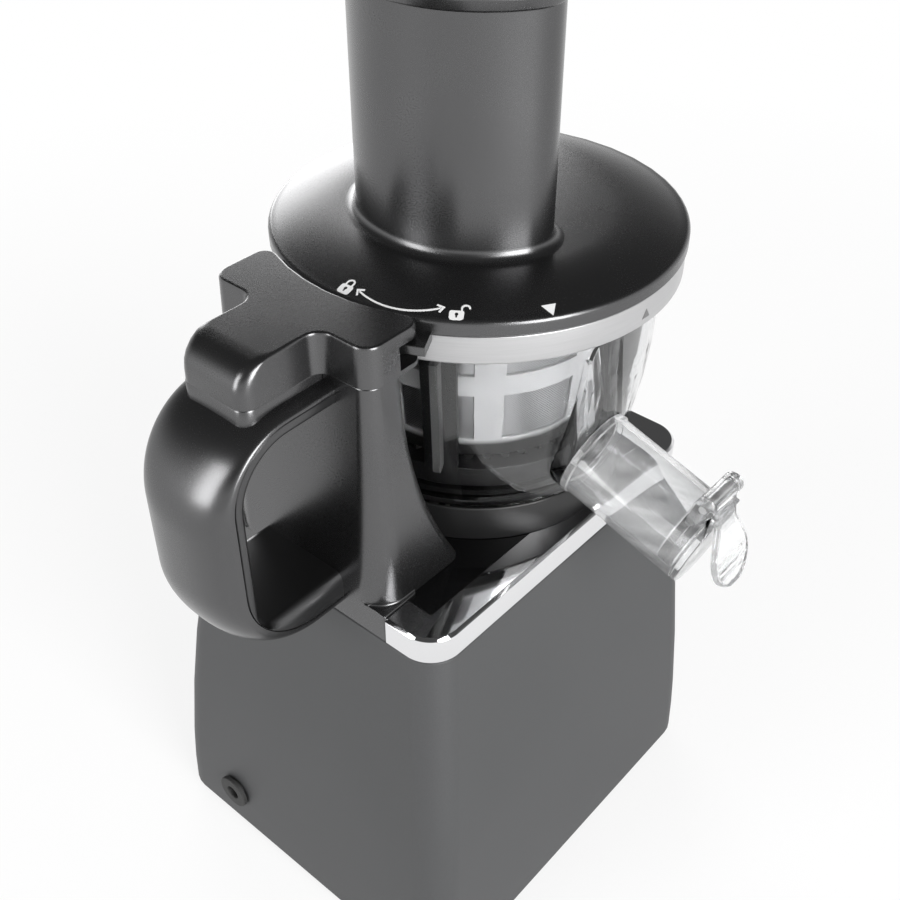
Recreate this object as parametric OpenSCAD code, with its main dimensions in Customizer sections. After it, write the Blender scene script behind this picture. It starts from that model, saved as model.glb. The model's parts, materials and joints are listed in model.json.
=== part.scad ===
// Cold press juicer: a vertical slow juicer with a loop handle, in millimetres.
// +Z is up, z = 0 is the table, and the drive axis is x = 0, y = 0.
// The handle is at +Y, the juice spout at -X and the pulp outlet at +X.

/* [Base] */
// Height of the deck that the bowl stands on
deck_z = 190; // [170:1:210]
// Room from the collar to the side of the metal trim
side_room = 5.1; // [4.6:0.1:7]
// Room from the collar to the front of the trim
front_room = 3.6; // [3.2:0.1:6]
// Room from the lid's tab to the back of the trim
back_room = 13.9; // [13.4:0.1:15]
// Corner radius of the trim
trim_corner = 14; // [10:0.5:18]
// Height of the trim band
trim_h = 12.5; // [10:0.5:15]
// Width of the polished land on top of the trim
trim_land = 13; // [10:0.5:14]
// Bevel along the trim's upper edge
trim_bevel = 1.3; // [0.8:0.1:2]
// How far each side of the housing swells out below the trim
base_flare = 18.5; // [16:0.5:22]
// How far the back of the housing swells out
base_flare_back = 20; // [16:0.5:24]
// How far the front of the housing swells out
base_flare_front = 5; // [3:0.5:10]
// Wall of the housing
base_wall = 3; // [2.4:0.2:4]
// Height of the rubber feet
foot_h = 5; // [4:0.5:8]
// Radius of a rubber foot
foot_r = 9; // [7:0.5:11]

/* [Column and handle] */
// Half width of the column at the deck
column_foot_hw = 42; // [40:0.5:44]
// Half width of the column under the cap
column_top_hw = 37.5; // [36:0.5:40]
// Depth of the column at the deck, from the back of the trim
column_foot_d = 45.9; // [43:0.1:47]
// Depth of the column under the cap, from the back of the trim
column_top_d = 20.9; // [20:0.1:21.4]
// How much the column's back leans forward at the top
column_lean = 3.2; // [2:0.2:4]
// Depth of the handle cap's underside below the mouth of the bowl
cap_drop = 8; // [6:0.5:10]
// Thickness of the handle cap
cap_h = 15.8; // [14:0.2:17]
// Half width of the cap's stem
cap_stem_hw = 15.6; // [14:0.2:18]
// Reach of the cap's stem past the back of the trim
cap_end_l = 30.6; // [27:0.2:34]
// Half width across the cap's wings
cap_wing_hw = 38; // [37:0.5:39]
// Width of the grip
grip_w = 44; // [38:1:48]
// Reach of the grip's outer face past the back of the trim
grip_out_l = 54.6; // [51:0.2:58]
// Reach of the parting line between the shell and the liner
grip_part_l = 44.1; // [43:0.1:45]
// Reach of the finger gap
grip_in_l = 39.6; // [37:0.2:40.6]

/* [Bowl] */
// Height of the dark collar
collar_h = 16; // [14:0.5:18]
// Height of the bowl's floor above the deck
floor_rise = 24; // [22:0.5:26]
// Outer radius of the bowl at its foot
bowl_foot_r = 62.4; // [60:0.2:64]
// How far the bowl's mouth stands out past its foot
bowl_flare = 8.8; // [8:0.1:10.6]
// Wall of the clear bowl
bowl_wall = 2.6; // [2.2:0.1:3.2]
// Width of the silver rim
rim_w = 8.1; // [7.6:0.1:8.6]
// Height of the silver rim
rim_h = 11.4; // [10:0.2:13]
// Height of the bowl and its collar above the deck
bowl_h = 107; // [104:0.5:108]

/* [Spout] */
// Sideways place of the spout
spout_y = 10.2; // [8:0.2:11]
// Height of the spout's root above the deck
spout_rise = 37.5; // [36:0.5:38]
// Downward slope of the spout in degrees
spout_tilt = 17.6; // [16:0.2:18]
// Distance of the spout's mouth from the side of the bowl
spout_out = 46.8; // [40:0.2:52]
// Outer radius of the spout at its root
spout_root_r = 17.7; // [17:0.1:18]
// Outer radius of the spout at its mouth
spout_mouth_r = 17.8; // [17.7:0.1:18.6]
// Wall of the spout
spout_wall = 2.3; // [2:0.1:2.8]
// Radius of the cap's hinge pin
hinge_pin_r = 1.6; // [1.4:0.1:2]

/* [Strainer and screw] */
// Room between the bowl and the strainer at the foot
foot_room = 12.4; // [11.9:0.1:12.9]
// Room between the bowl and the strainer at the top
top_room = 15.6; // [15.2:0.1:16]
// Wall of the strainer
strainer_wall = 2.2; // [1.8:0.1:2.6]
// Windows round the strainer
strainer_windows = 8; // [6:1:10]
// Clearance between the screw and the strainer at the foot
foot_gap = 1.2; // [0.8:0.1:3]
// Clearance between the screw and the strainer at the top
top_gap = 3.4; // [1:0.1:6]
// Depth of the flights at the foot of the screw
flight_foot_d = 16.6; // [13:0.2:19]
// Root radius of the screw at the top
root_top_r = 15; // [13:0.5:18]
// Number of flights on the screw
flight_count = 2; // [1:1:3]
// Turns of each flight
flight_turns = 1.35; // [1:0.05:1.6]
// Posts of the brush frame
brush_posts = 4; // [3:1:5]
// Radial width of the brush frame's gear ring outside its pitch line
ring_room = 8.6; // [8.2:0.1:9]
// Face width of those gears
gear_h = 7; // [6:0.5:7.5]

/* [Lid and feed tube] */
// How far the lid stands out past the rim
lid_over = 0.7; // [0.3:0.1:1]
// Height of the lid's side
lid_side_h = 4.2; // [3:0.2:6]
// Rise of the lid's dome from its edge to the feed tube
lid_dome_h = 4; // [3:0.2:8]
// Thickness of the lid
lid_wall = 3; // [2.5:0.1:3.5]
// Radius of the feed tube's curved back, about the drive axis
tube_arc_r = 46.5; // [45:0.5:48]
// Radius of the feed tube's corners
tube_corner_r = 16.5; // [15:0.5:18]
// Distance of the feed tube's flat front from the drive axis
tube_front = 1.5; // [1:0.1:2]
// Wall of the feed tube
tube_wall = 3; // [2.5:0.1:3.5]
// Height of the feed tube above the lid's edge
tube_h = 103; // [90:1:112]
// Reach of the lid's tab past the lid
tab_l = 9.5; // [8:0.1:10]
// Thickness of the lid's tab
tab_t = 4; // [3:0.2:4.4]

/* [Controls and drive] */
// Height of the control knob
knob_z = 120; // [100:1:135]
// Radius of the control knob
knob_r = 17; // [14:0.5:20]
// Length of the control knob
knob_l = 14; // [12:0.5:18]
// Radius of the output shaft
shaft_r = 8; // [7.5:0.1:8.5]
// Radius of the motor
motor_r = 44; // [40:0.5:46]
// Radius of the fan
fan_r = 40; // [36:0.5:42]
// Blades of the fan
fan_blades = 9; // [7:1:12]

/* [Hidden] */
$fn = 96;

// Clearances, shared by every fit
seat = 0.2;
running = 0.4;
shaft_fit = 0.05;
cut = 1;

// Heights derived from the driving sizes
trim_z = deck_z - trim_h;
housing_top = trim_z - seat;
lid_z = deck_z + bowl_h;
rim_z = lid_z - rim_h;
cap_z = lid_z - cap_drop;
bowl_z = deck_z + collar_h;
floor_z = deck_z + floor_rise;
floor_t = 3;
bowl_top_r = bowl_foot_r + bowl_flare;
bowl_in_top_r = bowl_top_r - bowl_wall;
collar_r = bowl_foot_r;
lip_w = 3.8;
lip_r = bowl_top_r + lip_w;
lip_h = 2.4;
rim_r = bowl_top_r + rim_w;
lid_r = rim_r + lid_over;
tab_r = lid_r + tab_l;
trim_w = 2 * (collar_r + side_room);
trim_front = collar_r + front_room;
trim_back = tab_r + back_room;
strainer_foot_r = bowl_foot_r - foot_room;
strainer_top_r = bowl_top_r - top_room;
flight_foot_r = strainer_foot_r - strainer_wall - foot_gap;
root_foot_r = flight_foot_r - flight_foot_d;
flight_top_r = strainer_top_r - strainer_wall - top_gap;
deck_plate_z = deck_z - seat;

// Smooth curves of a few named shapes
function lerp(a, b, s) = a + (b - a) * s;
function arc(cx, cy, r, a0, a1, n) = [for (k = [0:n]) let (a = lerp(a0, a1, k / n))
    [cx + r * cos(a), cy + r * sin(a)]];

// Outline of a rounded rectangle, drawn in by d with its corner centres kept
function box_outline(hw, front, back, r, d, n = 6) = concat(
    arc(hw - r, -front + r, r - d, -90, 0, n), arc(hw - r, back - r, r - d, 0, 90, n),
    arc(-hw + r, back - r, r - d, 90, 180, n), arc(-hw + r, -front + r, r - d, 180, 270, n));

function lift(outline, z) = [for (p = outline) [p[0], p[1], z]];

// A closed solid through a stack of rings that have as many points each
module loft(rings) {
    n = len(rings[0]);
    m = len(rings);
    sides = [for (i = [0:m - 2]) for (j = [0:n - 1]) let (a = i * n + j, b = i * n + (j + 1) % n)
        each [[a, a + n, b + n], [a, b + n, b]]];
    low = [for (j = [0:n - 1]) j];
    high = [for (j = [0:n - 1]) m * n - 1 - j];
    polyhedron(points = [for (r = rings) each r], faces = concat([low], sides, [high]), convexity = 8);
}

module ring(z0, z1, r_in, r_out) {
    translate([0, 0, z0]) difference() {
        cylinder(h = z1 - z0, r = r_out);
        translate([0, 0, -cut]) cylinder(h = z1 - z0 + 2 * cut, r = r_in);
    }
}

module block(x0, x1, y0, y1, z0, z1) {
    translate([x0, y0, z0]) cube([x1 - x0, y1 - y0, z1 - z0]);
}

// A sector of a ring whose section is the polygon pts, about the drive axis
module sector(pts, start, sweep) {
    rotate([0, 0, start]) rotate_extrude(angle = sweep) polygon(pts);
}

function ring_box(r0, r1, z0, z1) = [[r0, z0], [r1, z0], [r1, z1], [r0, z1]];

// Share of the housing's swell at a height, zero under the trim and whole and upright at the table
swell_power = 1.5;
function swell(z) = 1 - pow(1 - min(1, max(0, (housing_top - z) / (housing_top - foot_h))), swell_power);
housing_levels = 10;
function housing_ring(z, inset) = let (s = swell(z)) lift(box_outline(trim_w / 2 + s * base_flare,
    trim_front + s * base_flare_front, trim_back + s * base_flare_back, trim_corner, inset), z);

// Housing, deck and trim
housing_deck_t = 3;
deck_open_r = 26;
gear_screw_pcr = 38;
gear_screw_angles = [60, 180, 300];
plate_t = 3.5;
screw_r = 2;
screw_fit = 0.1;
screw_head_r = 4;
screw_head_h = 1.8;
boss_r = 5;
boss_h = 26;
boss_in = 24;
boss_end_x = trim_w / 2 + base_flare - base_wall / 2;
screw_places = [for (sx = [-1, 1]) for (y = [-trim_front + boss_in, trim_back - boss_in])
    [sx * (trim_w / 2 + base_flare - boss_in), y]];
knob_y = (trim_back - trim_front) / 2;
knob_wall_x = trim_w / 2 + base_flare * swell(knob_z);
bezel_w = 3.5;
bezel_r = knob_r + bezel_w;
bezel_h = 2.6;
bezel_face_x = knob_wall_x + bezel_h;
knob_stem_r = 3;
gland_z = 26;
gland_r = 6;
gland_flange_r = 8.5;
gland_x = trim_w / 2 - trim_corner - gland_flange_r;
gland_bore_r = 3.6;
gland_wall_y = trim_back + base_flare_back * swell(gland_z - gland_flange_r);
gland_flange_t = 2.2;
tongue_edge = 1;
tongue_hw = column_foot_hw + tongue_edge;
tongue_d = 17.4;
tongue_front = trim_back - tongue_d;

module base_housing() {
    color("dimgray") difference() {
        union() {
            difference() {
                loft([for (k = [0:housing_levels]) let (z = lerp(foot_h, housing_top, k / housing_levels))
                    housing_ring(z, 0)]);
                loft([for (k = [0:housing_levels])
                    let (z = lerp(foot_h - cut, housing_top - housing_deck_t, k / housing_levels))
                    housing_ring(z, base_wall)]);
            }
            for (p = screw_places) translate([p[0], p[1], foot_h + plate_t]) cylinder(h = boss_h,
                r = boss_r);
            for (p = screw_places) block(min(p[0], sign(p[0]) * boss_end_x), max(p[0],
                sign(p[0]) * boss_end_x), p[1] - base_wall / 2,
                p[1] + base_wall / 2, foot_h + plate_t, foot_h + plate_t + boss_h / 2);
            translate([knob_wall_x - 2 * base_wall, knob_y, knob_z]) rotate([0, 90, 0])
                cylinder(h = bezel_face_x - knob_wall_x + 2 * base_wall, r = bezel_r);
        }
        for (p = screw_places) translate([p[0], p[1], foot_h]) cylinder(h = boss_h,
            r = screw_r + screw_fit);
        translate([0, 0, housing_top - 2 * housing_deck_t]) cylinder(h = 3 * housing_deck_t,
            r = deck_open_r);
        translate([0, knob_y, knob_z]) rotate([0, 90, 0]) cylinder(h = 2 * trim_w,
            r = knob_stem_r + running);
        translate([gland_x, trim_back / 2, gland_z]) rotate([-90, 0, 0])
            cylinder(h = trim_back, r = gland_r + shaft_fit);
        for (a = gear_screw_angles) rotate([0, 0, a]) translate([gear_screw_pcr, 0, 0]) {
            translate([0, 0, housing_top - 2 * housing_deck_t]) cylinder(h = 3 * housing_deck_t,
                r = screw_r + screw_fit);
            translate([0, 0, housing_top - screw_head_h]) cylinder(h = screw_head_h + seat,
                r1 = screw_r + 2 * screw_fit, r2 = screw_head_r + 2 * screw_fit + seat);
        }
    }
}

module bottom_plate() {
    vent_w = 3.5;
    vent_l = 34;
    vent_pitch = 8;
    post_h = 8;
    color("black") difference() {
        union() {
            loft([housing_ring(foot_h, base_wall + seat), housing_ring(foot_h + plate_t,
                base_wall + seat)]);
            for (x = [-board_w / 2 - running, board_w / 2 - post_h + running]) difference() {
                block(x, x + post_h, board_y - 2 * board_t, board_y + 3 * board_t, foot_h,
                    foot_h + plate_t + post_h);
                block(x - cut, x + post_h + cut, board_y - seat / 2, board_y + board_t + seat / 2,
                    foot_h + plate_t, foot_h + plate_t + post_h + cut);
            }
        }
        for (p = screw_places) translate([p[0], p[1], foot_h - cut]) cylinder(h = plate_t + 2 * cut,
            r = screw_r + screw_fit);
        for (k = [-2:2]) block(k * vent_pitch - vent_w / 2, k * vent_pitch + vent_w / 2, -vent_l / 2,
            vent_l / 2,
            foot_h - cut, foot_h + plate_t + cut);
    }
}

foot_in = 14;
module rubber_feet() {
    color("black") for (sx = [-1, 1])
        for (y = [-trim_front - base_flare_front + foot_in, trim_back + base_flare_back - foot_in])
            translate([sx * (trim_w / 2 + base_flare - foot_in), y, 0])
                cylinder(h = foot_h, r1 = foot_r - trim_bevel, r2 = foot_r);
}

module bottom_screws() {
    color("silver") for (p = screw_places) translate([p[0], p[1], foot_h - screw_head_h]) {
        cylinder(h = screw_head_h, r = screw_head_r);
        cylinder(h = boss_h / 2 + screw_head_h, r = screw_r);
    }
}

function trim_ring(z, d) = lift(box_outline(trim_w / 2, trim_front, trim_back, trim_corner, d), z);

// The tongue of the column that fills the gap in the trim at the back
module tongue(grow, z0, z1) {
    block(-tongue_hw - grow, tongue_hw + grow, tongue_front - grow, trim_back + grow * cut, z0, z1);
}

module chrome_trim() {
    color("whitesmoke") difference() {
        loft([trim_ring(trim_z, 0), trim_ring(deck_z - trim_bevel, 0), trim_ring(deck_z, trim_bevel)]);
        loft([trim_ring(trim_z - cut, trim_land), trim_ring(deck_z + cut, trim_land)]);
        block(-tongue_hw - seat, tongue_hw + seat, tongue_front - seat, trim_back + cut, trim_z - cut,
            deck_z + cut);
    }
}

locator_in = 12.4;
locator_r = collar_r - locator_in;
locator_h = 5;
neck_r = 24;
module deck_plate() {
    color("black") difference() {
        union() {
            loft([trim_ring(trim_z, trim_land + seat), trim_ring(deck_plate_z, trim_land + seat)]);
            translate([0, 0, deck_plate_z - cut]) cylinder(h = locator_h + cut, r = locator_r);
        }
        translate([0, 0, trim_z - cut]) cylinder(h = trim_h + locator_h + 2 * cut, r = neck_r + seat);
        block(-tongue_hw - seat, tongue_hw + seat, tongue_front - seat, trim_back, trim_z - cut,
            deck_z + cut);
        sector(ring_box(duct_in_r, locator_r + cut, deck_plate_z, deck_z + locator_h + cut), -duct_half_a,
            2 * duct_half_a);
    }
}

// Column and handle cap
column_corner = 12;
column_front_corner = 6;
column_levels = 12;
column_curve = 2.2;
column_clear = 1.3;
column_bend_h = 10;
column_bend_z = deck_z + column_bend_h;
function column_front(z) = let (s = min(1, max(0, (z - deck_z) / (cap_z - deck_z))))
    trim_back - lerp(column_foot_d, column_top_d, 1 - pow(1 - s, column_curve));
function column_back(z) = trim_back - column_lean * max(0, (z - column_bend_z) / (cap_z - column_bend_z));
function column_hw(z) = lerp(column_foot_hw, column_top_hw, (z - deck_z) / (cap_z - deck_z));
function column_ring(z) = let (hw = column_hw(z), b = column_back(z), f = column_front(z),
    r = lerp(column_corner, column_corner / 2, (z - deck_z) / (cap_z - deck_z)), q = column_front_corner)
    lift(concat(arc(hw - q, f + q, q, -90, 0, 4), arc(hw - r, b - r, r, 0, 90, 7),
        arc(-hw + r, b - r, r, 90, 180, 7), arc(-hw + q, f + q, q, 180, 270, 4)), z);
column_heights = concat([deck_z, (deck_z + column_bend_z) / 2],
    [for (k = [0:column_levels]) lerp(column_bend_z, cap_z - seat, k / column_levels)]);

// Outer outline of the bowl, its foot at s = 0 and its mouth at s = 1
bowl_curve_h = 56;
bowl_power = 1.7;
bowl_steps = 8;
function bowl_r(z) = let (s = min(1, max(0, (z - bowl_z) / bowl_curve_h)))
    lerp(bowl_foot_r, bowl_top_r, 1 - pow(1 - s, bowl_power));
function bowl_profile(inset, z0, z1) = [for (k = [0:bowl_steps])
    let (z = lerp(z0, min(z1, bowl_z + bowl_curve_h), k / bowl_steps)) [bowl_r(z) - inset, z]];

plunger_r = 1.8;
plunger_flange_r = 2.8;
plunger_flange_h = 1.6;
plunger_travel = 1.5;
plunger_out = 8.4;
plunger_orbit = lid_r + plunger_out;
plunger_a = 101.5;
plunger_x = plunger_orbit * cos(plunger_a);
plunger_y = plunger_orbit * sin(plunger_a);
tab_z = lid_z - tab_t + tab_t / 3;
slot_low = 3.6;
slot_high = 1.6;
slot_out = 4.5;
slot_r = tab_r + slot_out;
slot_a0 = 97;
slot_sweep = 38;
slot_floor_z = tab_z - slot_low;
plunger_top = tab_z - running;
plunger_low = cap_z - plunger_flange_h - plunger_travel - 4 * running;
switch_w = 12;
switch_d = 6;
switch_h = 16;
switch_top = plunger_low - running - plunger_travel;

module handle_column() {
    color("dimgray") difference() {
        union() {
            loft([for (z = column_heights) column_ring(z)]);
            block(-tongue_hw, tongue_hw, tongue_front, trim_back, trim_z, deck_z + trim_bevel);
        }
        rotate_extrude() polygon(concat([[0, deck_z - cut], [collar_r + column_clear, deck_z - cut],
            [collar_r + column_clear, bowl_z]], bowl_profile(-column_clear, bowl_z, rim_z),
            [[bowl_top_r + column_clear, rim_z - column_clear], [rim_r + column_clear,
                rim_z - column_clear],
            [rim_r + column_clear, lid_z], [0, lid_z]]));
        translate([plunger_x, plunger_y, switch_top - cut])
            cylinder(h = cap_z - switch_top + cut, r = plunger_flange_r + running);
        block(plunger_x - switch_w / 2 - seat, plunger_x + switch_w / 2 + seat,
            plunger_y - switch_d / 2 + seat,
            plunger_y + switch_d * 1.5, switch_top - switch_h - seat, switch_top + seat);
    }
}

cap_end_r = 5;
cap_end_y = trim_back + cap_end_l;
cap_wing_d = 20.2;
cap_wing_back = lid_r + cap_wing_d;
cap_back_r = 7;
cap_front_r = 5;
cap_fillet = 6;
cap_front_gap = 1.2;
cap_front = lid_r + cap_front_gap;
cap_nose_y = sqrt(pow(cap_front + cap_front_r, 2) - pow(cap_wing_hw - cap_front_r, 2));
cap_nose_a = atan2(cap_nose_y, cap_wing_hw - cap_front_r);
cap_end_round = 11;
cap_edge = 1.3;
cap_draft = 0.5;
// Each arc is its centre, radius, first and last angle, and 1 where it bulges or -1 where it is hollow
function cap_arcs(end_y) = [
    [cap_wing_hw - cap_front_r, cap_nose_y, cap_front_r, cap_nose_a - 180, 0, 1],
    [cap_wing_hw - cap_back_r, cap_wing_back - cap_back_r, cap_back_r, 0, 90, 1],
    [cap_stem_hw + cap_fillet, cap_wing_back + cap_fillet, cap_fillet, 270, 180, -1],
    [cap_stem_hw - cap_end_r, end_y - cap_end_r, cap_end_r, 0, 90, 1],
    [-cap_stem_hw + cap_end_r, end_y - cap_end_r, cap_end_r, 90, 180, 1],
    [-cap_stem_hw - cap_fillet, cap_wing_back + cap_fillet, cap_fillet, 0, -90, -1],
    [-cap_wing_hw + cap_back_r, cap_wing_back - cap_back_r, cap_back_r, 90, 180, 1],
    [-cap_wing_hw + cap_front_r, cap_nose_y, cap_front_r, 180, 360 - cap_nose_a, 1],
    [0, 0, cap_front, 180 - cap_nose_a, cap_nose_a, -1]];
function cap_outline(end_y, d) = [for (a = cap_arcs(end_y)) each arc(a[0], a[1], a[2] - a[5] * d, a[3], a[4], 6)];
// One ring of the cap: the stem's end rolls back as the angle a goes from 0 to 90, and the edge draws in by d
function cap_ring(a, d) = lift(cap_outline(cap_end_y - cap_end_round * (1 - cos(a)), d),
    cap_z + cap_h - cap_end_round * (1 - sin(a)));
function cap_roll(rise) = asin(1 - rise / cap_end_round);

module handle_cap() {
    low_draft = cap_draft * cap_end_round / cap_h;
    color("dimgray") difference() {
        loft(concat([lift(cap_outline(cap_end_y, -cap_draft), cap_z)],
            [for (k = [0:4]) cap_ring(k * cap_roll(cap_edge) / 4, -low_draft * (1 - k / 4))],
            [cap_ring(cap_roll(cap_edge / 3), cap_edge / 3), cap_ring(90, cap_edge)]));
        sector(ring_box(cap_front - cut, slot_r, slot_floor_z, tab_z + tab_t + slot_high), slot_a0,
            slot_sweep);
        translate([plunger_x, plunger_y, cap_z - cut]) cylinder(h = cap_h / 2, r = plunger_r + shaft_fit);
    }
}

module lock_plunger() {
    color("white") translate([plunger_x, plunger_y, 0]) {
        translate([0, 0, plunger_low]) cylinder(h = plunger_top - plunger_low, r = plunger_r);
        translate([0, 0, cap_z - seat - plunger_flange_h]) cylinder(h = plunger_flange_h,
            r = plunger_flange_r);
    }
}

module lock_switch() {
    color("black") block(plunger_x - switch_w / 2, plunger_x + switch_w / 2,
        plunger_y - switch_d / 2 + 2 * seat,
        plunger_y + switch_d * 1.5 - seat, switch_top - switch_h, switch_top);
}

// Grip: the shell lies outside the parting line and the liner inside it
grip_hw = grip_w / 2;
part_top_drop = 7;
part_low_drop = 1.8;
part_top_z = cap_z - part_top_drop;
part_low_z = deck_z - part_low_drop;
part_top_r = 26;
part_low_r = 32;
out_top_drop = 2.6;
out_low_drop = 9.5;
out_top_z = cap_z - out_top_drop;
out_low_z = deck_z - out_low_drop;
out_top_r = 39.4;
out_low_r = 40;
in_top_drop = 12.4;
in_low_rise = 10;
in_top_z = cap_z - in_top_drop;
in_low_z = deck_z + in_low_rise;
in_top_r = 21.5;
in_low_r = 5;
grip_arc_steps = 8;
// Path of one line of the grip's side view: up the lower arm, round the grip and back along the upper arm
function grip_path(y, z_low, z_top, r_low, r_top) = concat([[column_back(z_low), z_low]],
    arc(y - r_low, z_low + r_low, r_low, -90, 0, grip_arc_steps),
    arc(y - r_top, z_top - r_top, r_top, 0, 90, grip_arc_steps), [[column_back(z_top), z_top]]);
part_path = grip_path(trim_back + grip_part_l, part_low_z, part_top_z, part_low_r, part_top_r);
out_path = grip_path(trim_back + grip_out_l, out_low_z, out_top_z, out_low_r, out_top_r);
in_path = grip_path(trim_back + grip_in_l, in_low_z, in_top_z, in_low_r, in_top_r);
// Sections across the grip, as shares of its half width and of its depth from the parting line
shell_shares = [[-1, 0], [-0.99, 0.22], [-0.93, 0.43], [-0.82, 0.64], [-0.62, 0.83], [-0.33, 0.96], [0, 1],
    [0.33, 0.96], [0.62, 0.83], [0.82, 0.64], [0.93, 0.43], [0.99, 0.22], [1, 0]];
liner_shares = [[-1, 0], [-1, 0.4], [-0.95, 0.75], [-0.82, 1], [0.82, 1], [0.95, 0.75], [1, 0.4], [1, 0]];
function grip_ring(p, q, shares, sgn) = [for (c = shares) [sgn * c[0] * grip_hw,
    lerp(p[0], q[0], c[1]), lerp(p[1], q[1], c[1])]];

module saddle(z0, z1) {
    linear_extrude(z1 - z0) polygon(concat(
        arc(cap_stem_hw + cap_draft - cap_end_r, cap_end_y + cap_draft - cap_end_r, cap_end_r, 0, 90, 5),
        arc(-cap_stem_hw - cap_draft + cap_end_r, cap_end_y + cap_draft - cap_end_r, cap_end_r, 90, 180, 5),
        [[-cap_stem_hw - cap_draft, column_back(z0)], [cap_stem_hw + cap_draft, column_back(z0)]]));
}

module grip_shell() {
    saddle_z = part_top_z + seat;
    color("dimgray") union() {
        loft([for (k = [0:len(part_path) - 1]) grip_ring(part_path[k], out_path[k], shell_shares, -1)]);
        translate([0, 0, saddle_z]) saddle(saddle_z, cap_z - seat);
    }
}

module grip_liner() {
    color("darkslategray")
        loft([for (k = [0:len(part_path) - 1]) grip_ring(part_path[k], in_path[k], liner_shares, 1)]);
}

// Motor, gearbox and shafts
gearbox_r = 46;
gearbox_h = 62;
gearbox_z = housing_top - housing_deck_t - gearbox_h;
motor_h = 70;
motor_z = gearbox_z - motor_h;
motor_shaft_r = 3;
fan_z = foot_h + plate_t + 6;
fan_h = 11;
bore_depth = 20;
hex_h = 30;

module motor() {
    fins = 16;
    fin_d = 2;
    color("dimgray") difference() {
        union() {
            translate([0, 0, motor_z]) cylinder(h = motor_h, r = motor_r - fin_d);
            for (k = [0:fins - 1]) rotate([0, 0, k * 360 / fins])
                block(motor_r / 2, motor_r, -fin_d, fin_d, motor_z + motor_h / 6,
                    motor_z + motor_h * 5 / 6);
        }
        translate([0, 0, motor_z - cut]) cylinder(h = bore_depth + cut, r = motor_shaft_r + shaft_fit);
    }
}

module gearbox() {
    color("gray") difference() {
        union() {
            translate([0, 0, gearbox_z]) cylinder(h = gearbox_h, r = gearbox_r);
            translate([0, 0, gearbox_z]) cylinder(h = deck_z + locator_h - gearbox_z, r = neck_r);
        }
        translate([0, 0, gearbox_z + gearbox_h / 2]) cylinder(h = gearbox_h * 2, r = shaft_r + shaft_fit);
        for (a = gear_screw_angles) rotate([0, 0, a]) translate([gear_screw_pcr, 0,
            gearbox_z + gearbox_h - boss_h / 2])
            cylinder(h = boss_h, r = screw_r + screw_fit);
    }
}

module gearbox_screws() {
    color("silver") for (a = gear_screw_angles) rotate([0, 0, a]) translate([gear_screw_pcr, 0, 0]) {
        translate([0, 0, gearbox_z + gearbox_h - boss_h / 3]) cylinder(h = boss_h / 3 + screw_head_h,
            r = screw_r);
        translate([0, 0, housing_top - screw_head_h]) cylinder(h = screw_head_h - seat / 2, r1 = screw_r,
            r2 = screw_head_r);
    }
}

module motor_shaft() {
    color("silver") translate([0, 0, fan_z]) cylinder(h = motor_z - fan_z + bore_depth - cut,
        r = motor_shaft_r);
}

module cooling_fan() {
    hub_r = 9;
    blade_t = 1.6;
    blade_tilt = 35;
    color("white") union() {
        ring(fan_z, fan_z + fan_h, motor_shaft_r + shaft_fit, hub_r);
        for (k = [0:fan_blades - 1]) rotate([0, 0, k * 360 / fan_blades])
            translate([hub_r - blade_t, 0, fan_z + fan_h / 2]) rotate([blade_tilt, 0, 0])
                translate([0, -fan_h / 2, -blade_t / 2]) cube([fan_r - hub_r, fan_h, blade_t]);
    }
}

gear_rise = 2;
gear_z = floor_z + gear_rise;
module output_shaft() {
    color("silver") union() {
        translate([0, 0, gearbox_z + gearbox_h / 2 + seat]) cylinder(h = gear_z
            - gearbox_z - gearbox_h / 2 - seat,
            r = shaft_r);
        translate([0, 0, gear_z - cut]) linear_extrude(hex_h + cut) circle(r = shaft_r - seat, $fn = 6);
    }
}

// Control board, knob and cord gland
board_w = 50;
board_h = 44;
board_t = 1.6;
board_y = 84;
module control_board() {
    part_h = 9;
    color("green") union() {
        block(-board_w / 2, board_w / 2, board_y, board_y + board_t, foot_h + plate_t,
            foot_h + plate_t + board_h);
        block(-board_w / 4, board_w / 5, board_y - part_h, board_y + board_t / 2, foot_h + board_h / 2,
            foot_h + board_h * 3 / 4);
    }
}

module knob_switch() {
    body_l = 12;
    body_w = 26;
    x1 = knob_wall_x - 2 * base_wall;
    color("black") difference() {
        block(x1 - body_l, x1, knob_y - body_w / 2, knob_y + body_w / 2, knob_z - body_w / 2,
            knob_z + body_w / 2);
        translate([x1 - body_l / 2, knob_y, knob_z]) rotate([0, 90, 0]) cylinder(h = body_l,
            r = knob_stem_r + shaft_fit);
    }
}

module control_knob() {
    rib_w = 5;
    rib_h = 3.5;
    skirt_l = 4;
    stem_x = knob_wall_x - 2 * base_wall - knob_l / 3;
    color("silver") union() {
        translate([stem_x, knob_y, knob_z]) rotate([0, 90, 0]) cylinder(h = bezel_face_x - stem_x
            + knob_l / 2, r = knob_stem_r);
        translate([bezel_face_x + running, knob_y, knob_z]) rotate([0, 90, 0]) {
            cylinder(h = skirt_l, r = knob_r);
            cylinder(h = knob_l - rib_h, r1 = knob_r - rib_h / 2, r2 = knob_r - rib_h);
        }
        block(bezel_face_x + running + skirt_l, bezel_face_x + running + knob_l, knob_y - rib_w / 2,
            knob_y + rib_w / 2,
            knob_z - knob_r + rib_h, knob_z + knob_r - rib_h / 2);
    }
}

module cord_gland() {
    color("black") translate([gland_x, gland_wall_y, gland_z]) rotate([-90, 0, 0]) difference() {
        union() {
            translate([0, 0, seat]) cylinder(h = gland_flange_t, r = gland_flange_r);
            translate([0, 0, -3 * base_wall]) cylinder(h = 3 * base_wall + gland_flange_t, r = gland_r);
        }
        translate([0, 0, -4 * base_wall]) cylinder(h = 6 * base_wall, r = gland_bore_r);
    }
}

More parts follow.
